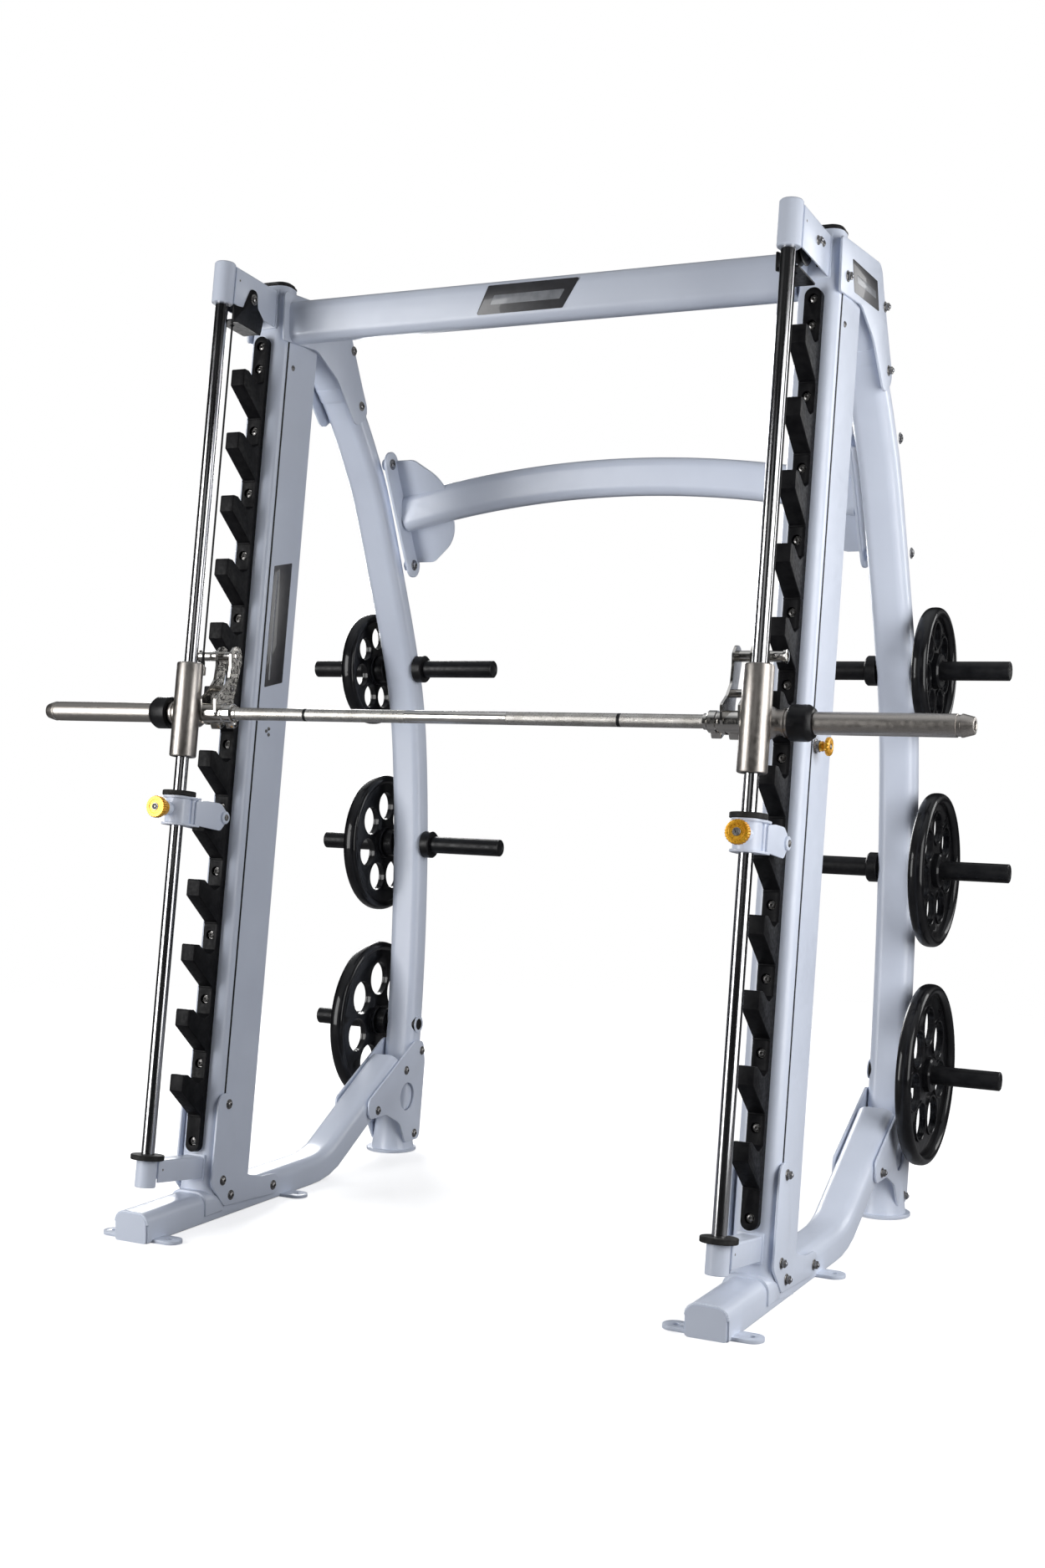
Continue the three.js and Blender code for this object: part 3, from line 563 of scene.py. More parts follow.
def button_head(radius=8.5, height=5, washer=12.5):
    """Button-head bolt with a hex socket on a washer, standing on z = 0."""
    socket = radius * 0.42
    profile = [
        (0, 0.6), (socket, 0.8), (socket, height + 1.6), (socket * 1.15, height + 2.0),
        (radius * 0.72, height + 1.2), (radius * 0.93, height * 0.55 + 2), (radius, 2.6), (radius, 2),
        (washer - 0.6, 2), (washer, 1.4), (washer, 0), (0, 0),
    ]
    return lathe("z", profile, segments=24, lobes=hex_socket(socket * 1.01))


def hex_nut(across=16.5, height=8, washer=12.5):
    """Hex nut on a washer."""
    plain = lathe("z", [(0, 0), (washer, 0), (washer, 1.4), (washer - 0.6, 2), (0, 2)], segments=24)
    nut = soften(prism("z", circle(0, 0, across / 2 / math.cos(math.pi / 6), 6), 2, 2 + height), 0.8)
    return join(plain, nut)


def stud_end(height=8, radius=4.8):
    """The bolt's end standing out of its nut."""
    top = height + 5.4
    return lathe("z", [(0, 2), (radius, 2), (radius, top - 1), (radius - 1, top), (0, top)], segments=16)


def towards(part, at, direction):
    """Stands a part drawn on z = 0 at a point, pointing along a direction."""
    turn = Vector(direction).to_track_quat("Z", "Y").to_matrix().to_4x4()
    return moved(part, Matrix.Translation(at) @ turn)


def bolt(at, direction, radius=8.5, height=5, washer=12.5):
    return towards(button_head(radius, height, washer), Vector(at), direction)


# ---------------------------------------------------------------- frame tubes
def tube_outline(width, depth, corner=26):
    return rectangle(0, 0, width, depth, corner, 8)


def base_outline(grow=0.0):
    """The base tube's section about its own middle: square below, well rounded above."""
    half, up, down = 48 + grow, 36 + grow, min(-36, -36 - grow)
    return rounded([(-half, down, 5), (half, down, 5), (half, up, 28 + grow), (-half, up, 28 + grow)], 8)


def lumpy(path, radius, spacing=7):
    """A weld: overlapping lumps laid along a line."""
    lumps = []
    for a, b in zip(path, path[1:]):
        count = max(1, round((b - a).length / spacing))
        for k in range(count):
            lump = bmesh.new()
            bmesh.ops.create_icosphere(lump, subdivisions=2, radius=radius * 1.25)
            at = a.lerp(b, (k + 0.5) / count)
            lumps.append(moved(lump, Matrix.Translation(at) @ Matrix.Diagonal((1.2, 0.8, 1.0, 1))))
    return join(ribbon(path, radius), *lumps)


def shifted(outline):
    """An outline about the base tube's axis, moved to its place."""
    return [Vector((HALF + p[0], BASE_MIDDLE + p[1])) for p in outline]


def base():
    """The bent tube with a plate welded into its front end and a flat end at the back."""
    bend, end, slope = 772, 1165, math.radians(29)
    mouth = BASE_FRONT + 5
    path = [Vector((HALF, mouth, BASE_MIDDLE)), Vector((HALF, 640, BASE_MIDDLE))]
    knee = [(690, 36), (730, 37.5), (772, 44), (812, 57), (850, 78)]
    path += [Vector((HALF, y, z)) for y, z in knee]
    path += [Vector((HALF, end, BASE_MIDDLE + (end - bend) * math.tan(slope)))]
    tube = swept([Vector((p.x, -p.y)) for p in base_outline()], path, caps=False)
    lip = prism("y", shifted(base_outline(-0.1)), mouth, BASE_FRONT + 12, [shifted(base_outline(-6))])
    plate = prism("y", shifted(base_outline(-4.5)), BASE_FRONT, BASE_FRONT + 11)
    rear = prism("y", base_outline(-0.3), 0, 4)
    tilt = Matrix.Translation(path[-1]) @ Matrix.Rotation(slope, 4, "X") @ Matrix.Translation((0, -5, 0))
    seam = [Vector((p.x, BASE_FRONT + 4.2, p.y)) for p in shifted(base_outline(-3)) if p.y > 30]
    return join(tube, lip, plate, moved(rear, tilt), lumpy(seam, 3.2))


def ear_plate(y):
    outline = rectangle(719.5, y, 219, 54, 26.9, 10)
    holes = [circle(x, y, 7, 24) for x in EAR_HOLES]
    return soften(prism("z", outline, 0, 8, holes), 0.8)


def ears():
    return join(*[ear_plate(y) for y in EAR_ROWS])


def post():
    path = smooth_path([(HALF, y, z) for y, z in POST], 6)
    ring = lathe("x", [(0, 670), (24.6, 670), (24.6, 671.8), (23.6, 672.9), (0, 672.9)], PEGS["low"], 48)
    return join(swept(tube_outline(96, 70), path), ring)


def foot():
    """Disc on the floor with the flared end of the post on it."""
    plate = lathe("z", [(0, 0), (71, 0), (72, 1), (72, 7), (71, 8), (50, 8), (0, 8)], (727, 1214), 64)
    cone = lathe("z", [(50, 6), (62, 6), (60, 12), (55, 60), (50, 118), (46, 118), (46, 6)], (725, 1218), 64)
    return join(plate, cone)


def sleeve_joint():
    """The post's upper length enters a slightly larger collar."""
    path = smooth_path([(HALF, y, z) for y, z in POST[11:14]], 8)[5:9]
    return soften(swept(tube_outline(98.4, 72.4, 27), path), 0.8, 2, 60)


def gusset_plates(points, holes=()):
    outline = rounded(points, 8)
    spans = ((GUSSET_INNER, GUSSET_FACE), (-GUSSET_FACE, -GUSSET_INNER))
    return join(*[soften(prism("x", outline, HALF + a, HALF + b, holes), 1.4, 3) for a, b in spans])


BASE_GUSSET = [
    (206, 92, 20), (236, 312, 28), (294, 312, 28), (312, 160, 30), (360, 92, 60), (430, 74, 60),
    (512, 68, 26), (510, 16, 24), (262, 30, 22),
]
TOP_GUSSET = [
    (476, 2199, 8), (480, 2322, 14), (788, 2322, 40), (812, 2262, 60), (872, 2140, 60), (908, 2072, 34),
    (842, 2030, 30), (744, 2140, 110), (640, 2199, 60),
]
REAR_GUSSET = [
    (972, 128, 20), (976, 182, 20), (1100, 246, 60), (1240, 318, 22), (1286, 312, 20), (1296, 250, 40),
    (1268, 28, 20), (1186, 30, 14), (1150, 92, 50), (1072, 128, 60),
]
BASE_BOLTS = [(277.6, 283.6), (254.1, 96.4), (289.7, 53.2), (484.1, 40.9)]
TOP_BOLTS = [(523.9, 2240.3), (821.4, 2230.2), (866.8, 2090.5)]
REAR_BOLTS = [(1276, 285), (1185, 239), (1024, 148), (1237, 48)]
GUSSET_BOLTS = BASE_BOLTS + TOP_BOLTS + REAR_BOLTS


def gusset_bolts():
    made = []
    for y, z in GUSSET_BOLTS:
        made.append(towards(hex_nut(), Vector((HALF + GUSSET_FACE, y, z)), (1, 0, 0)))
        made.append(bolt((HALF - GUSSET_FACE, y, z), (-1, 0, 0)))
    return join(*made)


def stud_ends():
    gussets = [towards(stud_end(), Vector((HALF + GUSSET_FACE, y, z)), (1, 0, 0)) for y, z in GUSSET_BOLTS]
    arm = railed(towards(stud_end(7, 4.2), Vector((26, 112, 2128)), (1, 0, 0)))
    return join(*gussets, arm)


def upright_outline(width, depth):
    return [Vector((p.x, p.y + UPRIGHT_MIDDLE)) for p in tube_outline(width, depth)]


def upright():
    """The tube with the two arms, their flanges and the bosses that hold the guide rod."""
    tube = prism("z", upright_outline(96, 70), -150, 2189)
    arms = [channel(low, high) for low, high in ARMS]
    top = lathe("z", [
        (0, 2075), (24.5, 2075), (26, 2076.5), (26, 2173), (23.5, 2176), (0, 2176),
    ], segments=64)
    bottom = lathe("z", [
        (16.2, -78), (23.5, -78), (25, -76.5), (25, -14.5), (23.5, -13), (16.2, -13),
    ], segments=64)
    flanges = [block((-30, 30), (196, 200.4), (low, high), 1.2) for low, high in ((2074, 2175), (-72, -8))]
    return railed(join(tube, *arms, top, bottom, *flanges))


def saddle():
    """Plate wrapped over the base tube under the upright."""
    outside = shifted(rounded([(-53, -18, 3), (53, -18, 3), (53, 41, 33), (-53, 41, 33)], 8))
    return soften(prism("y", outside, 187, 262), 1.5, 2, 60)


def arm_bolts():
    """The pulley's axle bolt on its big washer, the arm's side bolts and the bosses' set screws."""
    axle = bolt((-30.4, *PULLEY), (-1, 0, 0), 9, 5.5, 13.5)
    side_nut = towards(hex_nut(14, 7, 10.5), Vector((26, 112, 2128)), (1, 0, 0))
    side_bolt = bolt((26, 148, 2134), (1, 0, 0), 6, 3, 8)
    set_screws = []
    for s in (2141, -36):
        for u in (-1, 1):
            screw = lathe("z", [(0, 0.4), (2.6, 0.4), (3, 0), (0, 0)], segments=16)
            set_screws.append(towards(screw, Vector((u * 26, 31, s)), (u, 0, 0)))
    return railed(join(axle, side_nut, side_bolt, *set_screws))


def channel(low, high):
    """An arm from the boss back to the upright: a U of plate, open below."""
    outline = rounded([
        (-26, low), (-26, high, 5), (26, high, 5), (26, low),
        (22, low), (22, high - 4, 2), (-22, high - 4, 2), (-22, low),
    ])
    return soften(prism("y", outline, 14, 201), 0.7)


def welds():
    """Beads where the arms meet the upright."""
    beads = []
    for low, high in ARMS:
        corners = [(-26.5, low), (-26.5, high + 0.5), (26.5, high + 0.5), (26.5, low)]
        line = [Vector((u, 200.5, s)) for u, s in corners]
        for a, b in zip(line, line[1:]):
            beads.append(swept(circle(0, 0, 2.2, 10), [a, b], (b - a).orthogonal().normalized()))
    return railed(join(*beads))


def upright_cap():
    rim = soften(prism("z", upright_outline(97, 71), 2186, 2192), 2, 3, 60)
    dome = soften(prism("z", upright_outline(90, 64), 2190, 2199), 6, 4, 60)
    return railed(join(rim, dome))


def housing():
    outside = rounded([(-49.8, 238), (49.8, 238), (49.8, 375, 9), (-49.8, 375, 9)], 6)
    inside = rounded([(-48.3, 239.5), (48.3, 239.5), (48.3, 373.5, 8), (-48.3, 373.5, 8)], 6)
    walls = prism("z", outside, -150, 2058, [inside])
    lid = soften(prism("z", outside, 2056, 2060), 1)
    return railed(join(walls, lid))


def housing_screws():
    """One screw high on either face, and three small ones on the inner face."""
    made = [bolt((u * 49.8, 261.4, 1988.6), (u, 0, 0), 5, 2.4, 7) for u in (-1, 1)]
    for n, s in ((279, 1058), (291, 1050), (290, 1065)):
        made.append(bolt((-49.8, n, s), (-1, 0, 0), 3.6, 1.8, 4.6))
    return railed(join(*made))


def housing_gap_shade():
    """Dark strip in the joint between the upright and the housing: painted shade, standing in for the shadow
    in the narrow gap there.
    """
    strips = [block(u, (233, 238.2), (-149, 2057)) for u in ((-49.2, -48.1), (48.1, 49.2))]
    return railed(join(*strips))


def badge(axis, outline, low, high):
    """A thin sheet: a plain plate in place of a printed one, or the stripe on it."""
    return soften(prism(axis, rounded(outline, 4), low, high), 0.2)


# ---------------------------------------------------------------- rack and guide rod
def rack():
    """A round-ended strip with counterbored bolt holes, and a hook below each upper bolt."""
    bottom, top = -3, 2050
    strip = rectangle(0, (top + bottom) / 2, 2 * RACK_HALF, top - bottom, RACK_HALF - 0.1, 10)
    holes = [circle(0, s, 11.5, 28) for s in RACK_BOLTS]
    front = soften(prism("y", strip, 181, 190.5, holes), 1.3, 3, 50)
    back = prism("y", strip, 190, 199.7)
    hooks = []
    for tip in HOOK_TIPS:
        points = [
            (183, tip - 8), (176, tip - 13, 5), (160, tip - 21.5, 8), (146, tip - 19, 8), (113, tip, 5),
            (95, tip, 3), (92, tip - 3, 2), (92, tip - 41, 3), (183, tip - 103.5),
        ]
        hooks.append(soften(prism("x", rounded(points, 4), -19.4, 19.4), 1.8, 3, 40))
    ledges = [block((-19.3, 19.3), (178, 184), (tip - 105.5, tip - 100.5), 1.6, 3) for tip in HOOK_TIPS]
    return railed(join(front, back, *hooks, *ledges))


def rack_bolts():
    outward = RAIL.to_3x3() @ Vector((0, -1, 0))
    return join(*[bolt(RAIL @ Vector((0, 190.3, s)), outward, 8, 3.4, 9.6) for s in RACK_BOLTS])


def guide_rod():
    profile = [(0, -74.7), (15.1, -74.7), (15.875, -74), (15.875, 2150), (0, 2150)]
    return railed(lathe("z", profile, segments=64))


def rubber_ring(low, high):
    radius, edge = 40.5, 1.5
    return railed(lathe("z", [
        (ROD_BORE, low), (radius - edge, low), (radius, low + edge),
        (radius, high - edge), (radius - edge, high), (ROD_BORE, high),
    ], segments=64))


def rod_bumper():
    return rubber_ring(-12.7, -0.3)


# ---------------------------------------------------------------- pulley, guard, cable
def pulley_guard():
    cheek = rounded([
        (12, 2030, 4), (8, 2072, 4), (52, 2080, 10), (66, 2112, 14), (78, 2136, 14), (104, 2136, 14),
        (112, 2096, 12), (140, 2076, 6), (132, 2034, 4), (34, 2036, 2),
    ], 6)
    plate = soften(prism("x", cheek, -30.3, -26.3), 0.8)
    shelf = rounded([(-27.3, 14), (20, 14, 3), (20, 132, 3), (-27.3, 132)])
    floor = prism("z", shelf, 2036, 2040, [circle(0, CABLE_FRONT, 6)])
    axle = lathe("x", [(0, -29), (6, -29), (6, 21), (0, 21)], PULLEY, 24)
    return railed(join(plate, floor, axle))


def pulley():
    profile = [
        (6.3, -8), (14, -8), (15, -6.5), (33, -6.5), (34, -8), (42.5, -8), (44, -7.2), (44, -6), (38, -2.6),
        (36.5, 0), (38, 2.6), (44, 6), (44, 7.2), (42.5, 8), (34, 8), (33, 6.5), (15, 6.5), (14, 8), (6.3, 8),
    ]
    return railed(lathe("x", profile, PULLEY, 64))


def arc_points(centre, radius, start, end, count):
    return [
        Vector((0, centre[0] + radius * math.cos(a), centre[1] + radius * math.sin(a)))
        for a in (start + (end - start) * i / count for i in range(count + 1))
    ]


def cable_turn():
    """The cable over the pulley and the shoe."""
    slope = math.atan2(PULLEY[1] - SHOE[1], SHOE[0] - PULLEY[0])
    reach = math.hypot(PULLEY[1] - SHOE[1], SHOE[0] - PULLEY[0])
    leave = math.pi / 2 - slope + math.asin((SHOE_CABLE_R - PULLEY_CABLE_R) / reach)
    over = arc_points(PULLEY, PULLEY_CABLE_R, math.pi, leave, 20)
    down = arc_points(SHOE, SHOE_CABLE_R, leave, 0, 12)
    return railed(swept(circle(0, 0, CABLE_R, 10), over + down))


def cable_run(n, fixed, moving):
    """A straight length of cable along the rail, between the pulley or the shoe and a moving end."""
    steps = 24
    run = [Vector((0, n, fixed + (moving - fixed) * k / steps)) for k in range(steps + 1)]
    return railed(swept(circle(0, 0, CABLE_R, 10), run))


# ---------------------------------------------------------------- carriage, latch, bar
def carriage():
    body = lathe("z", [
        (ROD_BORE, 956), (29.5, 956), (31.5, 957.2), (32.5, 960),
        (32.5, 1181), (31.5, 1183.8), (29.5, 1185), (ROD_BORE, 1185),
    ], segments=64)
    hub = lathe("x", [
        (0, -26), (24, -26), (25.5, -24.5), (34, -12), (36, 0), (36, 20), (33, 27), (28.5, 33),
        (27.5, 42), (27.5, 63.5), (26, 65), (0, 65),
    ], BAR_AT, 64)
    ring = lathe("x", [(27, 52), (30.2, 52.5), (30.2, 56.5), (27, 57)], BAR_AT, 64)
    lug = block((-8, 8), (20, 56), (1163, 1185), 2.5, 3)
    return railed(join(body, hub, ring, lug))


def carriage_seals():
    """Dark wiper seals in both ends of each bearing housing, and the cable's end fitting."""
    low = lathe("z", [(16.1, 955.6), (24, 955.6), (24, 957), (16.1, 957)], segments=48)
    high = lathe("z", [(16.1, 1184.2), (24, 1184.2), (24, 1185.6), (16.1, 1185.6)], segments=48)
    end = lathe("z", [
        (0, 1184), (5.5, 1184), (5.5, 1196), (3.6, 1200), (3.6, 1222), (0, 1222),
    ], (0, CABLE_FRONT), 24)
    return railed(join(low, high, end))


LATCH_OUTLINE = [
    (-18, -22, 14), (-26, 12, 16), (-12, 46, 8), (26, 50, 20), (60, 64, 24), (82, 92, 20), (94, 118, 14),
    (118, 128, 18), (140, 110, 20), (130, 82, 20), (98, 50, 24), (62, 14, 40), (42, -20, 30), (8, -34, 24),
]
LATCH_SET = RAIL @ Matrix.Translation((0, *BAR_AT)) @ Matrix.Rotation(LATCH_OPEN, 4, "X")


def latch_plates():
    plates = [soften(prism("x", rounded(LATCH_OUTLINE, 8), x, x + 6), 1.4, 3) for x in (-81, -41)]
    clamp = lathe("x", [
        (15.4, -115), (22, -115), (24, -113), (24, -96), (21.5, -94), (21.5, -90),
        (24, -88), (24, -34.5), (22.5, -33), (15.4, -33),
    ], segments=64)
    lugs = [block((-112, -88), (-10, 10), (-36, -18), 3, 3), block((-72, -44), (-10, 10), (-38, -18), 3, 3)]
    spacer = lathe("x", [(0, -76), (9, -76), (9, -40), (0, -40)], LATCH_SPACER, 32)
    return moved(join(*plates, clamp, *lugs, spacer), LATCH_SET)


def latch_pin():
    pin = lathe("x", [
        (0, -84), (9, -84), (12, -82), (12, 27), (15, 27.6), (15, 33.4), (14, 34), (8, 34), (7, 31), (0, 31),
    ], LATCH_PIN, 48)
    return moved(pin, LATCH_SET)


def latch_bolts():
    made = [bolt((x, 11, z), (0, 1, 0), 5.5, 3.5, 7.5) for x, z in ((-100, -28), (-58, -29))]
    made += [bolt((x, *LATCH_SPACER), (d, 0, 0), 6.5, 3, 8.5) for x, d in ((-81, -1), (-35, 1))]
    return moved(join(*made), LATCH_SET)


def turned_on_bar(profile, segments=64):
    return lathe("x", profile, (BAR.y, BAR.z), segments)


def bar_collar():
    return turned_on_bar([
        (15.6, 786.3), (36.5, 786.3), (39, 789), (39, 825),
        (37.6, 828), (31.5, 836.5), (29.5, 837.7), (15.6, 837.7),
    ])


def sleeve():
    return turned_on_bar([
        (15.6, 838), (23.2, 838), (24.1, 839), (24.1, 1132.6), (22.1, 1133.6), (22.1, 1141),
        (24.1, 1142), (24.1, 1145), (18.6, 1165.5), (17.4, 1167.6), (15.5, 1168), (11, 1168),
        (10, 1167), (10, 1156), (0, 1156),
    ])


def bar_rings(low, radius, starts):
    """Rings 8 mm wide on the shaft, each from one of the starts."""
    profiles = [[(low, x), (radius, x), (radius, x + 8), (low, x + 8)] for x in starts]
    return join(*[turned_on_bar(profile, 48) for profile in profiles])


# ---------------------------------------------------------------- safety stop and spring pins
def stop_bracket():
    """A sleeve on the rod between two lips, with cheeks either side of the rack and a barrel for the knob."""
    outline = rounded([
        (24, 794, 4), (24, 852, 6), (70, 857, 30), (128, 857, 30), (156, 838, 20), (160, 817, 20),
        (134, 790, 16),
    ], 8)
    cheeks = [soften(prism("x", outline, x, x + 6), 1.2, 3) for x in (-37, 31)]
    lip = rounded([(-37, 44, 3), (37, 44, 3), (37, 8, 14), (28, -36, 26), (-28, -36, 26), (-37, 8, 14)], 8)
    bore = circle(0, 0, 16.6, 40)
    lips = [soften(prism("z", lip, low, low + 5.5, [bore]), 1, 2) for low in (790, 855)]
    body = lathe("z", [(ROD_BORE, 793), (30, 793), (30, 858), (ROD_BORE, 858)], segments=64)
    bridge = block((-31.5, 31.5), (16, 42), (795, 856), 3, 3)
    barrel = lathe("y", [
        (0, 0), (15, 0), (15, -44), (18.5, -45), (18.5, -50.5), (17, -52), (4.5, -52), (0, -51),
    ], STOP_KNOB, 48)
    bosses = []
    for u, d in ((36.5, 1), (-36.5, -1)):
        profile = [(0, u), (15.5, u), (15.5, u + d * 5), (14, u + d * 6.5), (0, u + d * 6.5)]
        bosses.append(lathe("x", profile, STOP_BOLT, 40))
    return railed(join(*cheeks, *lips, body, bridge, barrel, *bosses))


def stop_bolts():
    return railed(join(*[bolt((43 * d, *STOP_BOLT), (d, 0, 0), 6, 1.4, 8) for d in (1, -1)]))


def stop_pad():
    return rubber_ring(861, 873)


def scallops(count, radius, depth):
    """Ring shaper that flutes the rim of a knob."""
    def shape(r, angle):
        if r < radius * 0.93:
            return r
        return r - depth * (0.5 + 0.5 * math.cos(count * angle)) ** 2
    return shape


def stop_knob():
    knob = lathe("y", [
        (0, -52.6), (19, -52.6), (19, -66), (20.5, -69), (25, -70), (26.5, -72), (26.5, -83), (25, -85.6),
        (21, -86), (17, -86), (16, -84.8), (0, -84.8),
    ], STOP_KNOB, 96, scallops(24, 26.5, 1.3))
    return railed(knob)


def stop_knob_screw():
    head = bolt((6, -84.8, STOP_MIDDLE), (0, -1, 0), 7, 0.2, 9)
    pin = lathe("y", [(0, -40), (4, -40), (4, -53), (0, -53)], STOP_KNOB, 24)
    return railed(join(head, pin))


def pop_knob():
    profile = [
        (0, 62.5), (11.5, 62.5), (11.5, 68), (9.5, 71), (9.5, 73), (12, 76), (19, 76.5), (21, 78.5),
        (21, 83), (19, 85.5), (14, 86), (13, 85), (0, 85),
    ]
    return railed(lathe("x", profile, POP_PIN, 96, scallops(16, 21, 1.4)))


def pop_pin():
    head = bolt((85, *POP_PIN), (1, 0, 0), 5, 1, 6)
    pin = lathe("x", [(0, 42), (4, 42), (4, 63), (0, 63)], POP_PIN, 24)
    return railed(join(head, pin))


def pop_barrel():
    profile = [(4.5, 49), (16, 49.5), (16, 53), (13, 54), (13, 61), (12, 61.8), (4.5, 61.8)]
    return railed(lathe("x", profile, POP_PIN))


# ---------------------------------------------------------------- plate storage
def peg(level):
    """A peg through the post with a collar on either face; the lowest has only a stub on the inside."""
    near, far = HALF - TUBE_FACE, HALF + TUBE_FACE
    outer = [
        (24.1, far), (37.5, far), (38.5, far + 1), (38.5, far + 24), (35.5, far + 27.4), (24.1, far + 27.5),
        (24.1, 1005), (21.5, 1007), (17, 1007), (16, 1005.5), (3, 1005), (2.5, 1003), (0, 1003),
    ]
    stub = [(0, 669), (15, 669), (17, 670.5), (17, 674), (24.1, 674)]
    long = [
        (0, PEG_INNER + 3), (15, PEG_INNER + 2), (17, PEG_INNER), (22, PEG_INNER), (24.1, PEG_INNER + 2),
        (24.1, near - 27.5), (35.5, near - 27.4), (38.5, near - 24),
        (38.5, near - 1), (37.5, near), (24.1, near),
    ]
    return lathe("x", [*(stub if level == "low" else long), *outer], PEGS[level], 64)


def weight_plate(name):
    """A round-rimmed plate: hub, and a web with lipped round holes."""
    level, radius = PLATES[name]
    at = PEGS[level]
    start, thick, web, hub = 797.4, 40, 16, 44
    middle_x, bulge = start + thick / 2, PLATE_RIM / 2
    rim = []
    for t in (2 * math.pi * k / 28 for k in range(28)):
        squared = math.copysign(abs(math.sin(t)) ** 0.75, math.sin(t))
        rim.append((radius - bulge + bulge * math.cos(t), middle_x + (thick / 2) * squared))
    centre = [
        (24.9, start), (hub, start), (hub + 1, start + 2), (hub + 3, start + web), (hub, start + thick - 4),
        (hub - 4, start + thick), (27, start + thick), (24.9, start + thick - 2),
    ]
    middle = (hub + radius - PLATE_RIM) / 2
    hole = min((radius - PLATE_RIM - hub) / 2 - 8, middle * math.sin(math.pi / PLATE_HOLES) - 6)
    angles = [math.pi / 2 + 2 * math.pi * i / PLATE_HOLES for i in range(PLATE_HOLES)]
    spots = [(at[0] + middle * math.cos(a), at[1] + middle * math.sin(a)) for a in angles]
    openings = [circle(*at, hub - 4, 48), *[circle(y, z, hole, 40) for y, z in spots]]
    disc = prism("x", circle(*at, radius - PLATE_RIM + 6, 96), start + 8, start + web + 6, openings)
    lip = [
        (hole - 0.6, start + web + 4), (hole - 0.6, start + web + 9), (hole + 1, start + web + 10.5),
        (hole + 4, start + web + 10.5), (hole + 6, start + web + 4),
    ]
    lips = [lathe("x", lip, spot_at, 40) for spot_at in spots]
    return join(lathe("x", rim, at, 112), lathe("x", centre, at, 64), soften(disc, 1.6, 3, 60), *lips)


def plate_number(name):
    """The plate's number, raised on two places of its web."""
    level, radius = PLATES[name]
    made = []
    for turn in (math.radians(-38), math.radians(142)):
        curve = bpy.data.curves.new("number", "FONT")
        curve.body = name
        curve.size = 0.13 * radius
        curve.extrude = 1.2
        curve.align_x = curve.align_y = "CENTER"
        holder = bpy.data.objects.new("number", curve)
        mesh = bpy.data.meshes.new_from_object(holder)
        part = bmesh.new()
        part.from_mesh(mesh)
        bpy.data.objects.remove(holder)
        bpy.data.meshes.remove(mesh)
        bpy.data.curves.remove(curve)
        outwards = radius - PLATE_RIM - 0.08 * radius
        upright = Matrix(((0, 0, 1, 0), (1, 0, 0, 0), (0, 1, 0, 0), (0, 0, 0, 1)))
        spin = Matrix.Rotation(turn, 4, "X") @ Matrix.Translation((0, 0, outwards))
        made.append(moved(part, Matrix.Translation((820, *PEGS[level])) @ spin @ upright))
    return join(*made)


# ---------------------------------------------------------------- crossbars
def top_crossbar():
    return prism("x", rectangle(535, 2251, 70, 104, 26, 8), -664.6, 664.6)


def rear_crossbar():
    half, crown, ends = 650, 1900, 1825
    path = []
    for k in range(49):
        x = (2 * k / 48 - 1) * half
        path.append(Vector((x, 1103, crown - (crown - ends) * (x / half) ** 2)))
    return swept(tube_outline(70, 98), path, Vector((0, 1, 0)))


BRACKET = ((1011, 1952), (1145, 1686))
BRACKET_AT = 648  # inner face of the plate, which stands off the post on spacers


def bracket_place():
    (y0, z0), (y1, z1) = BRACKET
    tilt = math.atan2(y0 - y1, z0 - z1)
    return Matrix.Translation((0, (y0 + y1) / 2, (z0 + z1) / 2)) @ Matrix.Rotation(-tilt, 4, "X")


def bracket():
    (y0, z0), (y1, z1) = BRACKET
    length = math.hypot(y1 - y0, z1 - z0) + 68
    plate = soften(prism("x", rectangle(0, 0, 68, length, 33.9, 12), BRACKET_AT, BRACKET_AT + 8), 1.4, 3)
    edge = BRACKET_AT + 6
    fin = [(edge, -150), (594, -150, 30), (508, -82, 110), (508, 82, 110), (594, 150, 30), (edge, 150)]
    sheet = soften(prism("y", rounded(fin, 12), 22, 30), 1.4, 3)
    spacer = [(0, BRACKET_AT + 7), (15, BRACKET_AT + 7), (15, 672.8), (0, 672.8)]
    spacers = [lathe("x", spacer, at, 32) for at in BRACKET]
    return join(moved(join(plate, sheet), bracket_place()), *spacers)


def bracket_bolts():
    made = []
    for y, z in BRACKET:
        made.append(bolt((BRACKET_AT, y, z), (-1, 0, 0), 10.5, 5, 15))
        made.append(bolt((HALF + 48.2, y, z), (1, 0, 0), 10.5, 5, 14))
    return join(*made)


# ---------------------------------------------------------------- building the machine
def rear_gussets():
    return gusset_plates(REAR_GUSSET, [circle(1193, 162, 40, 48)])


def on_both_sides(name, make, material, node=None, body="frame"):
    """Makes a piece for each side; {} in a name stands for the side."""
    for side in SIDES:
        emit(name.format(side), make(), material, body.format(side), node and node.format(side), side)


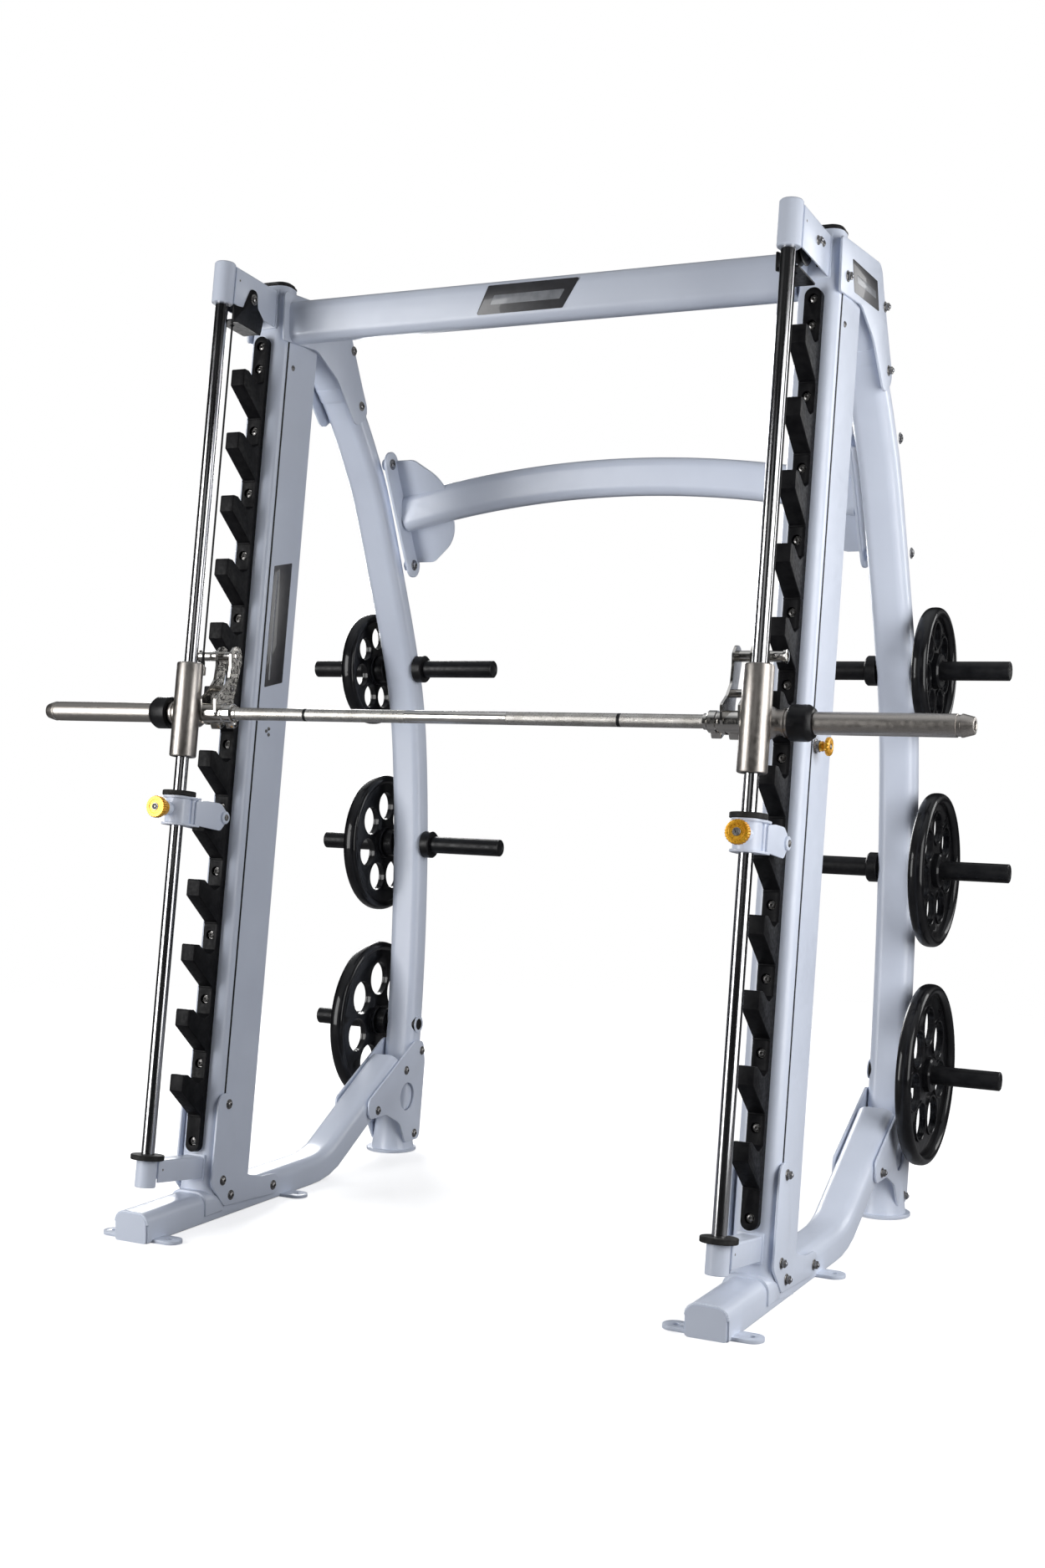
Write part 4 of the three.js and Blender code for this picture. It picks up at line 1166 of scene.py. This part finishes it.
PAIRED = [  # piece, shape, material, the CAD node it replaces, body if not the frame
    ("base_tube_{}", base, POWDER, "base_{}"),
    ("ears_{}", ears, POWDER),
    ("post_tube_{}", post, POWDER, "post_{}"),
    ("foot_{}", foot, POWDER),
    ("post_joint_{}", sleeve_joint, POWDER),
    ("base_gussets_{}", lambda: gusset_plates(BASE_GUSSET), POWDER, "gusset_base_{}"),
    ("top_gussets_{}", lambda: gusset_plates(TOP_GUSSET), POWDER, "gusset_top_{}"),
    ("rear_gussets_{}", rear_gussets, POWDER, "gusset_rear_{}"),
    ("gusset_bolts_{}", gusset_bolts, OXIDE),
    ("stud_ends_{}", stud_ends, ZINC),
    ("upright_tube_{}", upright, POWDER, "upright_{}"),
    ("welds_{}", welds, POWDER),
    ("upright_cap_{}", upright_cap, SATIN),
    ("saddle_{}", saddle, POWDER),
    ("arm_bolts_{}", arm_bolts, OXIDE),
    ("housing_sheet_{}", housing, POWDER, "housing_{}"),
    ("housing_screws_{}", housing_screws, OXIDE),
    # the dark strip in the housing's joint is painted shade for the gap's shadow
    ("housing_seal_{}", housing_gap_shade, SATIN),
    ("hook_rack_{}", rack, CAST, "rack_{}"),
    ("rack_bolts_{}", rack_bolts, OXIDE),
    ("rod_{}", guide_rod, CHROME, "guide_rod_{}"),
    ("rod_bumper_{}", rod_bumper, RUBBER, "rod_collar_{}"),
    ("guard_{}", pulley_guard, SATIN, "pulley_guard_{}"),
    ("wheel_{}", pulley, SATIN, "pulley_{}", "pulley_{}"),
    ("cable_turn_{}", cable_turn, SATIN, "cable_{}"),
    ("carriage_body_{}", carriage, NICKEL, "carriage_{}", "carriage"),
    ("carriage_seals_{}", carriage_seals, SATIN, None, "carriage"),
    ("latch_arm_{}", latch_plates, BRIGHT, "latch_{}", "bar"),
    ("latch_pin_{}", latch_pin, BRIGHT, None, "bar"),
    ("latch_bolts_{}", latch_bolts, OXIDE, None, "bar"),
    ("collar_{}", bar_collar, SATIN, "bar_collar_{}", "bar"),
    ("bar_sleeve_{}", sleeve, NICKEL, "sleeve_{}", "bar"),
    ("stop_body_{}", stop_bracket, POWDER, "stop_bracket_{}", "stop_{}"),
    ("stop_bolts_{}", stop_bolts, OXIDE, None, "stop_{}"),
    ("stop_pad_{}", stop_pad, RUBBER, "stop_bumper_{}", "stop_{}"),
    ("stop_grip_{}", stop_knob, AMBER, "stop_knob_{}", "stop_knob_{}"),
    ("stop_screw_{}", stop_knob_screw, OXIDE, None, "stop_knob_{}"),
    ("bracket_{}", bracket, POWDER),
    ("bracket_bolts_{}", bracket_bolts, ZINC),
]
for row in PAIRED:
    on_both_sides(*row)
for level in PEGS:
    on_both_sides("storage_" + level + "_{}", lambda: peg(level), SATIN, "peg_" + level + "_{}")
for mark in PLATES:
    weight = "weight_" + mark + "_{}"
    on_both_sides("plate_" + mark + "_{}", lambda: weight_plate(mark), ENAMEL, weight, weight)
    emit(f"number_{mark}", plate_number(mark), ENAMEL, weight.format("right"), side="right")

emit("pop_grip", pop_knob(), AMBER, "pop_knob_right", "pop_knob_right", "right")
emit("pop_pin", pop_pin(), OXIDE, "pop_knob_right", side="right")
emit("pop_barrel", pop_barrel(), OXIDE, "frame", side="right")
emit("crossbar_top", top_crossbar(), POWDER, "frame", "top_crossbar")
emit("crossbar_rear", rear_crossbar(), POWDER, "frame", "rear_crossbar")

BADGES = [  # name, side, whether it leans with the rail, axis, plate and its faces, stripe and its faces
    ("badge_long", "left", True, "x",
     [(254, 1166, 2), (334, 1190, 2), (334, 1500, 2), (254, 1476, 2)], (-50.5, -49.7),
     [(268, 1186, 2), (276, 1188, 2), (276, 1466, 2), (268, 1464, 2)], (-50.7, -50.3)),
    ("badge_side", "right", False, "x",
     [(576, 2216, 4), (772, 2210, 4), (752, 2276, 4), (556, 2286, 4)], (HALF + 56, HALF + 56.7),
     [(596, 2240, 2), (744, 2234, 2), (739, 2250, 2), (592, 2257, 2)], (HALF + 56.5, HALF + 56.9)),
    ("badge_front", None, False, "y",
     [(-132, 2222, 4), (96, 2222, 4), (140, 2290, 4), (-100, 2290, 4)], (499.3, 500.1),
     [(-96, 2244, 2), (88, 2244, 2), (102, 2266, 2), (-84, 2266, 2)], (499.1, 499.5)),
]
for name, side, leans, axis, plate, plate_faces, stripe, stripe_faces in BADGES:
    for label, outline, faces, film in (
        (name, plate, plate_faces, DARK_DECAL),
        (name + "_stripe", stripe, stripe_faces, GREY_DECAL),
    ):
        part = badge(axis, outline, *faces)
        emit(label, railed(part) if leans else part, film, "frame", side=side)

BAR_ORIGIN = Vector((0, FRONT + BAR.y * MM, BAR.z * MM))
shaft = turned_on_bar([(0, -130), (15, -130), (15, 130), (0, 130)])
emit("bar_middle", shaft, BRIGHT, "bar", "bar_shaft", origin=BAR_ORIGIN)
for tag in SIDES:
    knurl = turned_on_bar([(14, 130), (15.05, 130.5), (15.05, 595), (14, 595)])
    emit(f"bar_knurl_{tag}", knurl, KNURL, "bar", side=tag, origin=BAR_ORIGIN)
    end = turned_on_bar([(14, 595), (15, 595), (15, 800), (14, 800)])
    emit(f"bar_end_{tag}", end, BRIGHT, "bar", side=tag, origin=BAR_ORIGIN)
emit("bar_marks", bar_rings(14.8, 15.1, (-405, 397)), SATIN, "bar")
emit("bar_caps", bar_rings(14.8, 17.5, (-604, 596)), BRIGHT, "bar")

for tag, sign in SIDES.items():
    for run, n, fixed, moving, body in (
        ("front", CABLE_FRONT, PULLEY[1], 1185.3, "carriage"),
        ("rear", CABLE_REAR, SHOE[1], 1300.3, f"counterweight_{tag}"),
    ):
        length = cable_run(n, fixed, moving)
        piece = emit(f"cable_{run}_{tag}", length, SATIN, None, side=tag)
        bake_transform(piece)


# ---------------------------------------------------------------- floor and light
def floor():
    """White floor for the camera, grey for other rays, fading out some way from the middle. In metres."""
    reach, level = 30, -0.0005
    part = bmesh.new()
    corners = ((-reach, -reach), (reach, -reach), (reach, reach), (-reach, reach))
    part.faces.new([part.verts.new((x, y, level)) for x, y in corners])
    paint = Nodes(
        "floor_paint", (0.80, 0.80, 0.81), 0.75, Emission_Color=(1, 1, 1, 1), Emission_Strength=0.62
    )
    paint.rough(paint.ramp(paint.noise(2, 3), 0.68, 0.82))
    distance = paint.node("ShaderNodeVectorMath", operation="LENGTH")
    paint.link(paint.place, distance.inputs[0])
    clear = paint.node("ShaderNodeBsdfTransparent")
    dim = paint.node("ShaderNodeBsdfDiffuse")
    dim.inputs["Color"].default_value = (*BOUNCE, 1)
    path = paint.node("ShaderNodeLightPath")
    lit, faded = paint.node("ShaderNodeMixShader"), paint.node("ShaderNodeMixShader")
    paint.link(path.outputs["Is Camera Ray"], lit.inputs["Fac"])
    paint.link(dim.outputs[0], lit.inputs[1])
    paint.link(paint.shader.outputs[0], lit.inputs[2])
    paint.link(paint.ramp(distance.outputs["Value"], 0.0, 1.0, 1.6, 4.6), faded.inputs["Fac"])
    paint.link(lit.outputs[0], faded.inputs[1])
    paint.link(clear.outputs[0], faded.inputs[2])
    paint.link(faded.outputs[0], paint.tree.nodes["Material Output"].inputs["Surface"])
    shown("floor", part, paint.material)


def area_light(name, at, aim, size, power):
    data = bpy.data.lights.new(name, "AREA")
    data.shape = "RECTANGLE"
    data.size, data.size_y = size
    data.energy = power
    lamp = bpy.data.objects.new(name, data)
    lamp.location = at
    lamp.rotation_euler = (Vector(aim) - Vector(at)).to_track_quat("-Z", "Y").to_euler()
    bpy.context.scene.collection.objects.link(lamp)


def world():
    sky = bpy.data.worlds.new("studio")
    sky.use_nodes = True
    nodes, links = sky.node_tree.nodes, sky.node_tree.links
    seen, felt = nodes["Background"], nodes.new("ShaderNodeBackground")
    seen.inputs["Color"].default_value = (1, 1, 1, 1)
    seen.inputs["Strength"].default_value = 1.0
    felt.inputs["Color"].default_value = (0.93, 0.96, 1.0, 1)
    place = nodes.new("ShaderNodeTexCoord")
    split = nodes.new("ShaderNodeSeparateXYZ")
    path, choice = nodes.new("ShaderNodeLightPath"), nodes.new("ShaderNodeMix")
    links.new(place.outputs["Generated"], split.inputs[0])
    for levels, socket in ((SHINE, "A"), (SKY, "B")):
        glow = nodes.new("ShaderNodeMapRange")
        for label, value in zip(("From Min", "From Max", "To Min", "To Max"), (*GLOW, *levels)):
            glow.inputs[label].default_value = value
        links.new(split.outputs["Z"], glow.inputs["Value"])
        links.new(glow.outputs["Result"], choice.inputs[socket])
    links.new(path.outputs["Is Diffuse Ray"], choice.inputs["Factor"])
    links.new(choice.outputs["Result"], felt.inputs["Strength"])
    mix = nodes.new("ShaderNodeMixShader")
    links.new(path.outputs["Is Camera Ray"], mix.inputs["Fac"])
    links.new(felt.outputs[0], mix.inputs[1])
    links.new(seen.outputs[0], mix.inputs[2])
    links.new(mix.outputs[0], nodes["World Output"].inputs["Surface"])
    bpy.context.scene.world = sky


floor()
world()
for light, values in LIGHTS.items():
    area_light(light, *values)
bpy.context.scene.view_settings.view_transform = "Standard"
